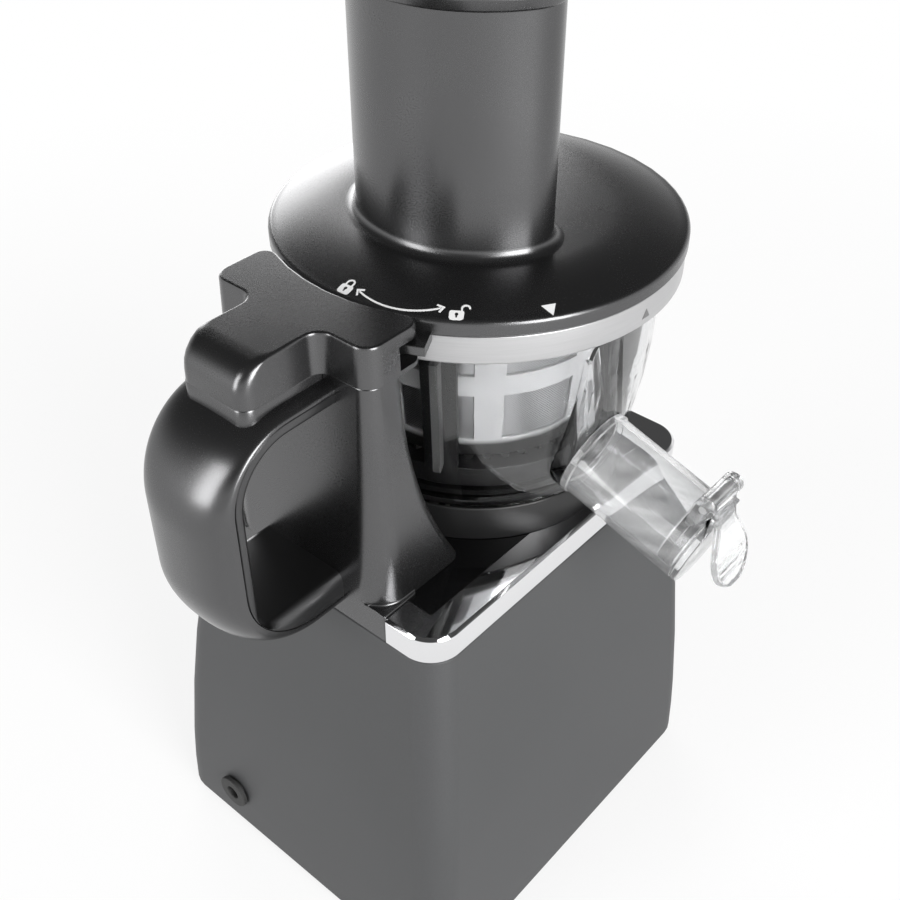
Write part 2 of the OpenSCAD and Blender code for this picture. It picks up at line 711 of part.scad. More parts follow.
// Bowl and what belongs to it
collar_wall = 4;
module bowl_collar() {
    shelf_t = 3;
    color("black") difference() {
        union() {
            ring(deck_z, bowl_z, collar_r - collar_wall, collar_r);
            ring(bowl_z - shelf_t, bowl_z, collar_r - 2.5 * collar_wall, collar_r - cut);
        }
        block(duct_in_r, 2 * collar_r, -duct_w / 2 - seat, duct_w / 2 + seat, deck_z - cut, bowl_z + cut);
    }
}

seal_r = 13;
idler_teeth = 12;
sun_teeth = 20;
ring_teeth = sun_teeth + 2 * idler_teeth;
brush_room = 5.4;
brush_ring_r = bowl_foot_r - brush_room;
ring_pitch_r = brush_ring_r - ring_room;
gear_module = 2 * ring_pitch_r / ring_teeth;
sun_pitch_r = gear_module * sun_teeth / 2;
idler_pitch_r = gear_module * idler_teeth / 2;
idler_orbit = sun_pitch_r + idler_pitch_r;
idler_a = 90;
idler_pin_r = 3;
idler_step = 2;
hub_step = 4;
hub_block_t = 12;
strainer_hub_r = sun_pitch_r + hub_step;
strainer_block_r = strainer_hub_r + hub_block_t;
throat_room = 1.6;
throat_l = 7.4;
throat_in_r = strainer_hub_r + throat_room;
throat_out_r = throat_in_r + throat_l;
throat_half_a = 24;
duct_in_gap = 7.6;
duct_in_r = throat_in_r - duct_in_gap;
duct_w = 30;
duct_half_a = 42;
duct_wall = 2;
duct_out_l = 27.5;
duct_bend_x = max(trim_w / 2, collar_r) + cut;
duct_out_x = duct_bend_x + duct_out_l;
duct_drop = 6;

spout_z = deck_z + spout_rise;
spout_root_in = 7.2;
spout_reach = bowl_top_r + spout_out;
spout_root_x = bowl_top_r - spout_root_in;
spout_l = (spout_reach - spout_root_x) / cos(spout_tilt);
mouth_z = spout_z - spout_l * sin(spout_tilt);
barrel_r = 3.9;
hinge_in = 3.5;
hinge_gap = 3;
hinge_x = -spout_reach + hinge_in;
hinge_z = mouth_z + spout_mouth_r + hinge_gap + barrel_r;
barrel_hw = 8;
ear_t = 2.6;
ear_r = 4;
ear_foot_share = 0.8;
bead_l = 3;
bead_h = 0.8;

// Places its children with +Z along the spout, outwards from its root
module along_spout(s) {
    translate([-spout_root_x, spout_y, spout_z]) rotate([0, -90 - spout_tilt, 0]) translate([0, 0,
        s]) children();
}

// Leans its children over with the spout, about the middle of its mouth
module at_mouth() {
    translate([-spout_reach, spout_y, mouth_z]) rotate([0, -spout_tilt, 0]) translate([spout_reach,
        -spout_y, -mouth_z])
        children();
}

// The outside of the spout drawn in by d, from its root to past its mouth
module spout_cone(s, d) {
    over_l = spout_mouth_r;
    along_spout(s) cylinder(h = spout_l + over_l - s, r1 = lerp(spout_root_r, spout_mouth_r,
        s / spout_l) - d,
        r2 = lerp(spout_root_r, spout_mouth_r, 1 + over_l / spout_l) - d);
}

// The swept neck: from a narrow pad under the rim down to the root of the spout
module neck(d) {
    pad_r = 12;
    pad_drop = 15;
    pad_in = 5;
    pad_t = 3;
    hull() {
        translate([-bowl_top_r + pad_in, spout_y, rim_z - pad_drop]) rotate([0, -90, 0])
            cylinder(h = pad_t, r = pad_r - d, $fn = 32);
        along_spout(-pad_t) cylinder(h = pad_t + bead_l, r = spout_root_r + bead_h - d, $fn = 32);
        translate([-bowl_foot_r + pad_r, spout_y, bowl_z + pad_r / 2]) rotate([0, -90, 0])
            cylinder(h = pad_t, r = pad_r / 3 - d / 2, $fn = 32);
    }
}

module juice_bowl() {
    color("lightcyan") difference() {
        union() {
            rotate_extrude() polygon(concat([[0, bowl_z + seat / 2], [bowl_foot_r - cut,
                bowl_z + seat / 2]],
                bowl_profile(0, bowl_z + cut, rim_z), [[bowl_top_r, lid_z - seat - lip_h], [lip_r,
                    lid_z - seat - lip_h],
                [lip_r, lid_z - seat], [0, lid_z - seat]]));
            neck(0);
        }
        rotate_extrude() polygon(concat([[0, floor_z], [bowl_r(floor_z) - bowl_wall, floor_z]],
            bowl_profile(bowl_wall, floor_z, rim_z), [[bowl_in_top_r, lid_z + cut], [0, lid_z + cut]]));
        ring(bowl_z - cut, floor_z - floor_t, throat_in_r - 2 * duct_wall, bowl_foot_r - 2 * bowl_wall);
        intersection() {
            neck(bowl_wall);
            block(-2 * bowl_top_r, -bowl_foot_r + 2 * bowl_wall, -bowl_top_r, bowl_top_r, floor_z + seat,
                lid_z);
        }
        spout_cone(-2 * bowl_wall, spout_wall);
        translate([0, 0, bowl_z - cut]) cylinder(h = floor_z, r = seal_r);
        cylinder(h = bowl_z + seat / 2, r = collar_r + running);
        sector(ring_box(throat_in_r, throat_out_r, bowl_z - cut, floor_z + cut), -throat_half_a,
            2 * throat_half_a);
    }
    color("lightcyan") union() {
        rotate([0, 0, idler_a]) translate([idler_orbit, 0, floor_z - floor_t / 2]) {
            cylinder(h = gear_z - seat - floor_z + floor_t / 2 - seat, r = idler_pin_r + idler_step);
            cylinder(h = gear_z + gear_h + seat - floor_z + floor_t / 2, r = idler_pin_r);
        }
    }
}

// Spout: a tube fused to the neck, with the ears of the cap's hinge
module juice_spout() {
    color("lightcyan") union() {
        difference() {
            union() {
                spout_cone(bead_l, 0);
                along_spout(bead_l) cylinder(h = bead_l, r = spout_root_r + bead_h);
            }
            spout_cone(-cut, spout_wall);
            at_mouth() block(-2 * spout_reach, -spout_reach, spout_y - 2 * spout_mouth_r,
                spout_y + 2 * spout_mouth_r,
                mouth_z - 2 * spout_mouth_r, mouth_z + 2 * spout_mouth_r);
        }
        at_mouth() for (s = [-1, 1]) hinge_ear(s);
    }
}

// One of the two ears that hold the hinge pin over the spout's mouth
module hinge_ear(s) {
    y0 = spout_y + s * (barrel_hw + running + ear_t / 2);
    difference() {
        hull() {
            translate([hinge_x, y0, hinge_z]) rotate([90, 0, 0]) cylinder(h = ear_t, r = ear_r,
                center = true, $fn = 32);
            translate([hinge_x + ear_r / 2, y0, mouth_z + spout_mouth_r * ear_foot_share]) rotate([90, 0,
                0])
                cylinder(h = ear_t, r = ear_r / 3, center = true, $fn = 32);
        }
        translate([hinge_x, y0, hinge_z]) rotate([90, 0, 0]) cylinder(h = 2 * ear_t,
            r = hinge_pin_r + shaft_fit, center = true);
    }
}

module bowl_rim() {
    color("silver") rotate_extrude() polygon([[bowl_top_r + seat, rim_z], [rim_r - trim_bevel, rim_z],
        [rim_r, rim_z + trim_bevel], [rim_r, lid_z - seat], [lip_r + seat, lid_z - seat],
        [lip_r + seat, lid_z - 2 * seat - lip_h], [bowl_top_r + seat, lid_z - 2 * seat - lip_h]]);
}

module shaft_seal() {
    lip = 2;
    color("gray") union() {
        ring(floor_z - floor_t, floor_z - seat, shaft_r + running, seal_r - seat / 2);
        ring(floor_z - seat - cut, floor_z + lip / 2, shaft_r + running, shaft_r + lip);
    }
}

module pulp_duct() {
    hw = duct_w / 2 - duct_wall / 2;
    z0 = deck_z + seat;
    z1 = floor_z - floor_t - seat;
    x0 = duct_in_r + duct_w / 6;
    color("lightcyan") difference() {
        rotate([90, 0, 0]) translate([0, 0, -hw]) linear_extrude(2 * hw) polygon([[x0, z0 + duct_drop],
            [collar_r, z0],
            [duct_bend_x, z0], [duct_out_x, z0 - duct_drop], [duct_out_x, z1 - 2 * duct_drop], [duct_bend_x,
                bowl_z - seat],
            [bowl_foot_r - 3 * bowl_wall, bowl_z - seat], [bowl_foot_r - 3 * bowl_wall, z1], [x0, z1]]);
        rotate([90, 0, 0]) translate([0, 0, -hw + duct_wall]) linear_extrude(2 * (hw - duct_wall)) polygon([
            [x0 + duct_wall, z0 + duct_drop + duct_wall], [collar_r, z0 + duct_wall], [duct_bend_x,
                z0 + duct_wall],
            [duct_out_x + cut, z0 - duct_drop + duct_wall - seat], [duct_out_x + cut,
                z1 - 2 * duct_drop - duct_wall - seat],
            [duct_bend_x, bowl_z - seat - duct_wall], [x0 + duct_wall, bowl_z - seat - duct_wall]]);
        sector(ring_box(throat_in_r, throat_out_r, bowl_z - 2 * duct_wall, z1 + cut), -throat_half_a,
            2 * throat_half_a);
    }
}

// Spout cap, its seal and its pin
plug_gap = 0.6;
plug_r = spout_mouth_r - spout_wall - plug_gap;
plug_l = 9;
plug_seal_w = 3;
disc_t = 2.6;
module spout_cap() {
    tab_tilt = 33;
    neck_l = 11;
    neck_hw = 6;
    lobe_l = 25.8;
    lobe_r = 12;
    lobe_t = 3;
    lobe_in = 0.6;
    web_x = -spout_reach - disc_t - seat / 2;
    color("lightcyan") at_mouth() difference() {
        union() {
            translate([-spout_reach - seat - disc_t, spout_y, mouth_z]) rotate([0, 90, 0]) {
                cylinder(h = disc_t, r = spout_mouth_r);
                cylinder(h = disc_t + seat + plug_l, r = plug_r - cut);
            }
            translate([0, spout_y + barrel_hw, 0]) rotate([90, 0, 0]) linear_extrude(2 * barrel_hw) {
                hull() {
                    translate([hinge_x, hinge_z]) circle(r = barrel_r, $fn = 48);
                    translate([web_x, hinge_z - barrel_r]) square([disc_t - seat, barrel_r]);
                }
                translate([web_x, mouth_z + plug_r / 2]) square([disc_t - seat, hinge_z - mouth_z - plug_r / 2]);
            }
            translate([hinge_x, spout_y, hinge_z]) rotate([0, tab_tilt, 0])
                translate([lobe_in - barrel_r, 0, 0]) rotate([0, 90, 0]) linear_extrude(lobe_t) {
                    hull() {
                        translate([0, seat - barrel_hw]) square([barrel_r / 2, 2 * (barrel_hw - seat)]);
                        translate([neck_l, 0]) circle(r = neck_hw, $fn = 32);
                    }
                    hull() {
                        translate([neck_l, 0]) circle(r = neck_hw, $fn = 32);
                        translate([lobe_l, 0]) circle(r = lobe_r, $fn = 48);
                    }
                }
        }
        translate([hinge_x, spout_y, hinge_z]) rotate([90, 0, 0]) cylinder(h = 3 * barrel_hw,
            r = hinge_pin_r + shaft_fit,
            center = true);
    }
}

module cap_seal() {
    color("black") at_mouth() translate([-spout_reach + plug_l - cut - plug_seal_w, spout_y,
        mouth_z]) rotate([0, 90, 0])
        difference() {
            cylinder(h = plug_seal_w, r = plug_r);
            translate([0, 0, -cut]) cylinder(h = plug_seal_w + 2 * cut, r = plug_r - cut + seat / 4);
        }
}

module cap_pin() {
    color("silver") at_mouth() translate([hinge_x, spout_y, hinge_z]) rotate([90, 0, 0])
        cylinder(h = 2 * (barrel_hw + running + ear_t) + seat, r = hinge_pin_r, center = true);
}

// Strainer
strainer_z = floor_z + seat;
strainer_rise = 1;
strainer_floor_z = gear_z + gear_h + strainer_rise;
strainer_floor_t = 2.5;
strainer_wall_z = strainer_floor_z + strainer_floor_t;
strainer_drop = 11;
strainer_top_z = lid_z - strainer_drop;
window_sweep_share = 0.72;
window_rows = [[0.1, 0.46], [0.62, 0.88]];
function strainer_r(z) = lerp(strainer_foot_r, strainer_top_r, (z - strainer_floor_z) / (strainer_top_z
    - strainer_floor_z));
function wall_quad(z0, z1, d_out, d_in) = [[strainer_r(z0) - d_in, z0], [strainer_r(z0) - d_out, z0],
    [strainer_r(z1) - d_out, z1], [strainer_r(z1) - d_in, z1]];
window_pitch = 360 / strainer_windows;
function row_z(k, e) = lerp(strainer_wall_z, strainer_top_z, window_rows[k][e]);

module strainer_frame() {
    top_lip = 3;
    color("gray") difference() {
        union() {
            rotate_extrude() polygon([[strainer_hub_r, strainer_floor_z], [strainer_foot_r,
                strainer_floor_z],
                [strainer_top_r, strainer_top_z - top_lip], [strainer_top_r + top_lip,
                    strainer_top_z - top_lip],
                [strainer_top_r + top_lip, strainer_top_z], [strainer_top_r - strainer_wall,
                    strainer_top_z],
                [strainer_r(strainer_wall_z) - strainer_wall, strainer_wall_z], [strainer_hub_r,
                    strainer_wall_z]]);
            difference() {
                ring(strainer_z, strainer_floor_z + cut, strainer_hub_r, strainer_block_r);
                rotate([0, 0, idler_a]) translate([idler_orbit, 0, strainer_z - cut]) cylinder(
                    h = strainer_floor_z - strainer_z + cut, r = idler_pitch_r + gear_module + 2 * running);
            }
        }
        for (k = [0, 1]) for (j = [0:strainer_windows - 1])
            sector(wall_quad(row_z(k, 0), row_z(k, 1), -cut, strainer_wall + cut),
                (j + 0.5 - window_sweep_share / 2) * window_pitch, window_sweep_share * window_pitch);
        sector(ring_box(throat_in_r, throat_out_r, strainer_z - cut, strainer_wall_z + cut), -throat_half_a,
            2 * throat_half_a);
    }
}

module strainer_mesh() {
    mesh_t = 0.6;
    edge = 0.15;
    gap_a = 0.2;
    color("silver") for (k = [0, 1]) for (j = [0:strainer_windows - 1])
        sector(wall_quad(row_z(k, 0) + edge, row_z(k, 1) - edge, strainer_wall / 2 - mesh_t / 2,
            strainer_wall / 2 + mesh_t / 2),
            (j + 0.5 - window_sweep_share / 2) * window_pitch + gap_a, window_sweep_share * window_pitch
                - 2 * gap_a);
}

// Screw: a stack of rings that turn as they rise, each with its flights as narrow ridges
screw_z = strainer_wall_z + 2 * running;
screw_drop = 9;
screw_top_z = lid_z - screw_drop;
screw_levels = 30;
// Points of one flight and the root up to the next, as shares of the step between flights
ridge_shares = [[0, 0], [0.05, 0.94], [0.09, 1], [0.13, 0.94], [0.2, 0.1], [0.32, 0], [0.46, 0], [0.6, 0],
    [0.74, 0], [0.87, 0]];
function screw_root(s) = lerp(root_foot_r, root_top_r, s);
flight_end = 0.9;
function screw_flight(s) = s > flight_end ? lerp(lerp(flight_foot_r, flight_top_r, flight_end),
    screw_root(s) + gear_h, (s - flight_end) / (1 - flight_end))
    : lerp(flight_foot_r, flight_top_r, s);
// Flights climb faster towards the top
function screw_turn(s) = 360 * flight_turns * (1 - pow(1 - s, 1.5));
function screw_ring(s) = [for (f = [0:flight_count - 1]) for (c = ridge_shares)
    let (a = (f + c[0]) * 360 / flight_count + screw_turn(s), r = lerp(screw_root(s), screw_flight(s),
        c[1]))
    [r * cos(a), r * sin(a), lerp(screw_z, screw_top_z, s)]];

module auger() {
    neck_l = screw_z - gear_z - gear_h;
    color("darkgray") difference() {
        union() {
            loft([for (k = [0:screw_levels]) screw_ring(k / screw_levels)]);
            translate([0, 0, gear_z + gear_h]) cylinder(h = neck_l + cut, r = strainer_hub_r - 2 * running);
            translate([0, 0, screw_top_z - cut]) cylinder(h = bush_low + top_pin_h - screw_top_z + cut
                - seat, r = top_pin_r);
        }
        translate([0, 0, gear_z]) linear_extrude(hex_h + running) circle(r = shaft_r + seat / 2, $fn = 6);
    }
}

// Involute gear outline: half of a tooth's pitch thickness is taken in by the backlash
pressure_a = 20;
backlash_share = 0.06;
function involute(a) = tan(a) * 180 / PI - a;
function flank_a(r, rb) = involute(acos(min(1, rb / r)));
function gear_outline(n, m, add, ded, play) = let (rp = m * n / 2, rb = rp * cos(pressure_a),
    ra = rp + add * m, rf = rp - ded * m,
    half = 90 / n * (1 - play), rs = [rf, max(rf, rb + m / 20), rp, ra])
    [for (k = [0:n - 1]) each concat(
        [for (i = [0:3]) let (r = rs[i], a = k * 360 / n - min(half + involute(pressure_a) - flank_a(max(r,
            rb), rb), 170 / n))
            [r * cos(a), r * sin(a)]],
        [for (i = [3:-1:0]) let (r = rs[i], a = k * 360 / n + min(half + involute(pressure_a)
            - flank_a(max(r, rb), rb), 170 / n))
            [r * cos(a), r * sin(a)]])];

addendum_share = 0.9;
dedendum_share = 1.2;

module auger_gear() {
    color("darkgray") difference() {
        translate([0, 0, gear_z]) linear_extrude(gear_h - seat / 2) polygon(gear_outline(sun_teeth,
            gear_module, addendum_share,
            dedendum_share, backlash_share));
        translate([0, 0, gear_z - cut]) linear_extrude(gear_h + 2 * cut) circle(r = shaft_r + seat / 2,
            $fn = 6);
    }
}

module idler_gear() {
    color("white") rotate([0, 0, idler_a]) translate([idler_orbit, 0, gear_z]) difference() {
        rotate([0, 0, 180 / idler_teeth]) linear_extrude(gear_h) polygon(gear_outline(idler_teeth,
            gear_module, addendum_share,
            dedendum_share, backlash_share));
        translate([0, 0, -cut]) cylinder(h = gear_h + 2 * cut, r = idler_pin_r + shaft_fit);
    }
}

// Brush frame: an internal gear ring, leaning posts and an upper ring
brush_z = floor_z + running;
brush_drop = 2;
brush_top_z = rim_z - brush_drop;
brush_gap = 4;
post_sweep = 13;
post_t = 3.6;
post_phase = 20;
function brush_in(z) = strainer_r(z) + brush_gap;

module brush_frame() {
    band_h = 4;
    z1 = gear_z + gear_h;
    post_top = brush_top_z - band_h / 2;
    color("black") union() {
        difference() {
            translate([0, 0, brush_z]) cylinder(h = z1 - brush_z, r = brush_ring_r);
            translate([0, 0, brush_z - cut]) rotate([0, 0, idler_a + 180 / ring_teeth]) linear_extrude(z1
                - brush_z + 2 * cut)
                polygon(gear_outline(ring_teeth, gear_module, dedendum_share - seat / 2, addendum_share,
                    -backlash_share));
        }
        for (k = [0:brush_posts - 1]) sector([[brush_in(z1), z1 - band_h], [brush_ring_r - seat,
            z1 - band_h],
            [brush_in(z1) + post_t, z1], [brush_in(post_top) + post_t, post_top], [brush_in(post_top),
                post_top],
            [brush_in(z1), z1]], post_phase + k * 360 / brush_posts, post_sweep);
        ring(brush_top_z - band_h, brush_top_z, brush_in(brush_top_z), brush_in(brush_top_z) + post_t
            + cut);
    }
}

module brush_wipers() {
    wiper_a = 2.6;
    z0 = gear_z + gear_h + 2 * cut;
    z1 = brush_top_z - 3 * brush_gap / 2 - cut;
    color("gray") for (k = [0:brush_posts - 1]) {
        sector([[strainer_r(z0) + 2 * running, z0], [brush_in(z0) - seat / 4, z0], [brush_in(z1) - seat / 4,
            z1],
            [strainer_r(z1) + 2 * running, z1]], post_phase + k * 360 / brush_posts
                + post_sweep / 2 - wiper_a / 2, wiper_a);
        sector([[brush_in(z0) + post_t + seat / 4, z0], [bowl_r(z0) - bowl_wall - 2 * running, z0],
            [bowl_r(z1) - bowl_wall - 2 * running, z1], [brush_in(z1) + post_t + seat / 4, z1]],
            post_phase + k * 360 / brush_posts + post_sweep / 2 - wiper_a / 2, wiper_a);
    }
}

// Lid
lid_low = lid_z + seat;
lid_edge = 2;
lid_top_edge = lid_low + lid_side_h + lid_edge;
lid_top = lid_top_edge + lid_dome_h;
tube_top = lid_z + tube_h;
flange_r = bowl_in_top_r - 2 * running;
flange_drop = 8.5;
flange_low = lid_z - flange_drop;
flange_t = 3;
fillet_r = 4;
plateau_edge = 1;
plateau_r = tube_arc_r + fillet_r + plateau_edge;
tab_a0 = 99;
tab_a1 = 118.5;
tube_lip = 3;
tube_lip_h = 7;
bush_r = 6.5;
top_pin_r = 3.5;
top_pin_h = 9;
bush_low = screw_top_z + 2 * running;
// Centre of a corner of the feed tube, whose arc runs into the curved back without a step
tube_cy = tube_corner_r - tube_front;
tube_cx = sqrt(pow(tube_arc_r - tube_corner_r, 2) - tube_cy * tube_cy);
tube_a = atan2(tube_cy, tube_cx);
// Half moon outline of the feed tube, drawn in by d
function tube_outline(d) = concat(arc(tube_cx, tube_cy, tube_corner_r - d, -90, tube_a, 7),
    arc(0, 0, tube_arc_r - d, tube_a, 180 - tube_a, 12), arc(-tube_cx, tube_cy, tube_corner_r - d,
        180 - tube_a, 270, 7));
// Height of the lid's top at a radius: level round the feed tube and curved down to the edge
function dome_z(r) = let (s = max(0, (r - plateau_r) / (lid_r - lid_edge
    - plateau_r))) lid_top - lid_dome_h * s * s;

module lid_shell() {
    dome = [for (k = [0:6]) let (r = lerp(plateau_r, lid_r - lid_edge, k / 6)) [r, dome_z(r)]];
    edge = arc(lid_r - lid_edge, lid_low + lid_side_h, lid_edge, 75, 0, 3);
    rotate_extrude() polygon(concat([[0, lid_top]], dome, edge, [[lid_r, lid_low], [flange_r, lid_low],
        [flange_r, flange_low + 2 * flange_t], [flange_r - flange_t / 2, flange_low + 2 * flange_t],
        [flange_r - flange_t / 2, flange_low + flange_t], [flange_r, flange_low + flange_t], [flange_r,
            flange_low],
        [flange_r - flange_t, flange_low], [flange_r - flange_t, lid_low + lid_wall],
        [plateau_r, lid_top - lid_wall], [0, lid_top - lid_wall]]));
}

module lid() {
    color("dimgray") difference() {
        union() {
            difference() {
                lid_shell();
                translate([0, 0, lid_low]) linear_extrude(tube_h) polygon(tube_outline(tube_wall));
            }
            translate([0, 0, bush_low]) cylinder(h = lid_top - lid_wall / 2 - bush_low, r = bush_r);
            sector(ring_box(rim_r + 2 * running, tab_r, tab_z, tab_z + tab_t), tab_a0, tab_a1 - tab_a0);
            sector(ring_box(lid_r - lid_edge, lid_r + cut, lid_low, tab_z + tab_t), tab_a0,
                tab_a1 - tab_a0);
        }
        translate([0, 0, bush_low - cut]) cylinder(h = top_pin_h + cut, r = top_pin_r + shaft_fit);
    }
}

// Feed tube: fused to the lid's top along a fillet
module feed_tube() {
    color("dimgray") difference() {
        loft(concat([for (a = [0:15:90]) lift(tube_outline(fillet_r * (sin(a) - 1)),
            lid_top + fillet_r * (1 - cos(a)))],
            [lift(tube_outline(0), tube_top - tube_lip_h), lift(tube_outline(-tube_lip),
                tube_top - tube_lip_h / 2),
            lift(tube_outline(-tube_lip), tube_top)]));
        translate([0, 0, lid_top - cut]) linear_extrude(tube_h) polygon(tube_outline(tube_wall));
    }
}

module lid_seal() {
    color("lightgray") ring(flange_low + flange_t + seat / 2, flange_low + 2 * flange_t - seat / 2,
        flange_r - flange_t / 2 + seat / 2, flange_r + running / 2);
}

// Pusher that slides in the feed tube, with its cap
pusher_gap = 0.6;
pusher_rise = 33;
pusher_low = lid_z + pusher_rise;
pusher_wall = 2.6;
pusher_flange_h = 3.6;
pusher_cap_h = 22;
module pusher() {
    z0 = tube_top + running;
    inset = tube_wall + pusher_gap;
    color("dimgray") difference() {
        union() {
            translate([0, 0, pusher_low]) linear_extrude(z0 + seat
                - pusher_low) polygon(tube_outline(inset));
            translate([0, 0, z0]) linear_extrude(pusher_flange_h) polygon(tube_outline(-tube_lip));
        }
        translate([0, 0, pusher_low + pusher_wall]) linear_extrude(tube_h) polygon(tube_outline(inset
            + pusher_wall));
    }
}

module pusher_cap() {
    z0 = tube_top + running + pusher_flange_h;
    spigot_in = tube_wall + pusher_gap + pusher_wall + seat;
    spigot_h = 6;
    waist = 5;
    color("dimgray") difference() {
        union() {
            loft([lift(tube_outline(0), z0), lift(tube_outline(waist), z0 + pusher_cap_h / 3),
                lift(tube_outline(waist), z0 + pusher_cap_h / 2), lift(tube_outline(waist / 2),
                    z0 + pusher_cap_h - pusher_wall),
                lift(tube_outline(waist), z0 + pusher_cap_h)]);
            translate([0, 0, z0 - spigot_h]) linear_extrude(spigot_h
                + cut) polygon(tube_outline(spigot_in));
        }
        translate([0, 0, z0 - spigot_h - cut]) linear_extrude(spigot_h + pusher_cap_h / 2)
            polygon(tube_outline(spigot_in + pusher_wall));
    }
}

base_housing();
bottom_plate();
rubber_feet();
bottom_screws();
chrome_trim();
deck_plate();
handle_column();
handle_cap();
grip_shell();
grip_liner();
lock_plunger();
lock_switch();
motor();
gearbox();
gearbox_screws();
motor_shaft();
cooling_fan();
output_shaft();
control_board();
knob_switch();
control_knob();
cord_gland();
bowl_collar();
juice_bowl();
juice_spout();
bowl_rim();
shaft_seal();
pulp_duct();
spout_cap();
cap_seal();
cap_pin();
strainer_frame();
strainer_mesh();
auger();
auger_gear();
idler_gear();
brush_frame();
brush_wipers();
lid();
feed_tube();
lid_seal();
pusher();
pusher_cap();
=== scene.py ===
"""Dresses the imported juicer: camera and stage, finishes, and smooth surfaces that stand in for the solids."""

import json
import math

import bmesh
import bpy
import numpy as np
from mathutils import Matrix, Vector


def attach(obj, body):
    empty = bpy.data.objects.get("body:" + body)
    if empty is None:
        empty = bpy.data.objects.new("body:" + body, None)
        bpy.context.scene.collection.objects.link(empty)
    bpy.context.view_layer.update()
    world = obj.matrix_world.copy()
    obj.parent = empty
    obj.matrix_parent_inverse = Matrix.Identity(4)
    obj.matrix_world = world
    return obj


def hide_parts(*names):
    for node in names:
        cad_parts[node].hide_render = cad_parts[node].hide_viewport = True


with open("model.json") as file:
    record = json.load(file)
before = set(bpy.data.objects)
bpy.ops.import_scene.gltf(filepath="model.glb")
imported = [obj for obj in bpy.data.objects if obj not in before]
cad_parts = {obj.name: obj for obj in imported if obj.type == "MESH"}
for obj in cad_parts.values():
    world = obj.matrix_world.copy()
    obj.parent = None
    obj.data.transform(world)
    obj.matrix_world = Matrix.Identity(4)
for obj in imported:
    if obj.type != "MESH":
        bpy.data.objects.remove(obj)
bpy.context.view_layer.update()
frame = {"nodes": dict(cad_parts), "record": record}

bl_info = {
    "name": "Slow juicer dresser",
    "version": (1, 0, 0),
    "blender": (4, 5, 0),
    "location": "View3D > Sidebar > Juicer",
    "description": "Builds the surfaces and finishes of an upright slow juicer round its packed solids",
    "category": "Object",
}

MM = 0.001
TAU = 2 * math.pi

# How far the juice spout leans down from level
SPOUT_LEAN = math.radians(17.6)

# Where the photograph was taken from, and its lens on a 36 mm sensor
CAMERA_AT = np.array([-261.6, 318.7, 514.8]) * MM
CAMERA_AIM = np.array([16.5, -2.3, 175.75]) * MM
CAMERA_LENS = 47.65
SENSOR_WIDTH = 36.0


# Sizes and colours that a user would change

class JuicerSizes(bpy.types.PropertyGroup):
    """Small sizes of the visible surfaces."""

    edge_round: bpy.props.FloatProperty(
        name="Edge rounding", description="Rounding of the moulded edges", default=0.5 * MM, unit="LENGTH")
    mesh_pitch: bpy.props.FloatProperty(
        name="Mesh pitch", description="Distance between the holes of the strainer's mesh",
        default=1.1 * MM, unit="LENGTH")


class JuicerColours(bpy.types.PropertyGroup):
    """Colours of the finishes."""

    dark_satin: bpy.props.FloatVectorProperty(
        name="Dark satin", description="Colour of the lid, column and handle", subtype="COLOR", size=3,
        default=(0.115, 0.115, 0.117))
    housing: bpy.props.FloatVectorProperty(
        name="Housing", description="Colour of the housing", subtype="COLOR", size=3,
        default=(0.062, 0.063, 0.065))
    silver: bpy.props.FloatVectorProperty(
        name="Silver", description="Colour of the bowl's rim", subtype="COLOR", size=3,
        default=(0.45, 0.45, 0.455))
    floor: bpy.props.FloatVectorProperty(
        name="Floor", description="Colour of the floor where it is lit", subtype="COLOR", size=3,
        default=(0.9, 0.9, 0.9))


def sizes():
    """The scene's sizes."""
    return bpy.context.scene.juicer_sizes


def colours():
    """The scene's colours."""
    return bpy.context.scene.juicer_colours


# Shader sockets as numbers

class Sock:
    """A shader value that can be used in sums and products. Each operator adds one Math node."""

    def __init__(self, finish, link):
        self.finish = finish
        self.link = link

    def _math(self, operation, *values):
        return self.finish.node("ShaderNodeMath", {"operation": operation}, dict(enumerate(values)))

    def __add__(self, other):
        return self._math("ADD", self, other)

    __radd__ = __add__

    def __sub__(self, other):
        return self._math("SUBTRACT", self, other)

    def __rsub__(self, other):
        return self._math("SUBTRACT", other, self)

    def __mul__(self, other):
        return self._math("MULTIPLY", self, other)

    __rmul__ = __mul__

    def __pow__(self, other):
        return self._math("POWER", self, other)

    def __lt__(self, other):
        return self._math("LESS_THAN", self, other)

    def wave(self):
        """The cosine of the value."""
        return self._math("COSINE", self)

    def clamp(self):
        """The value held between 0 and 1."""
        return self.finish.node("ShaderNodeClamp", {}, {0: self, 1: 0.0, 2: 1.0})


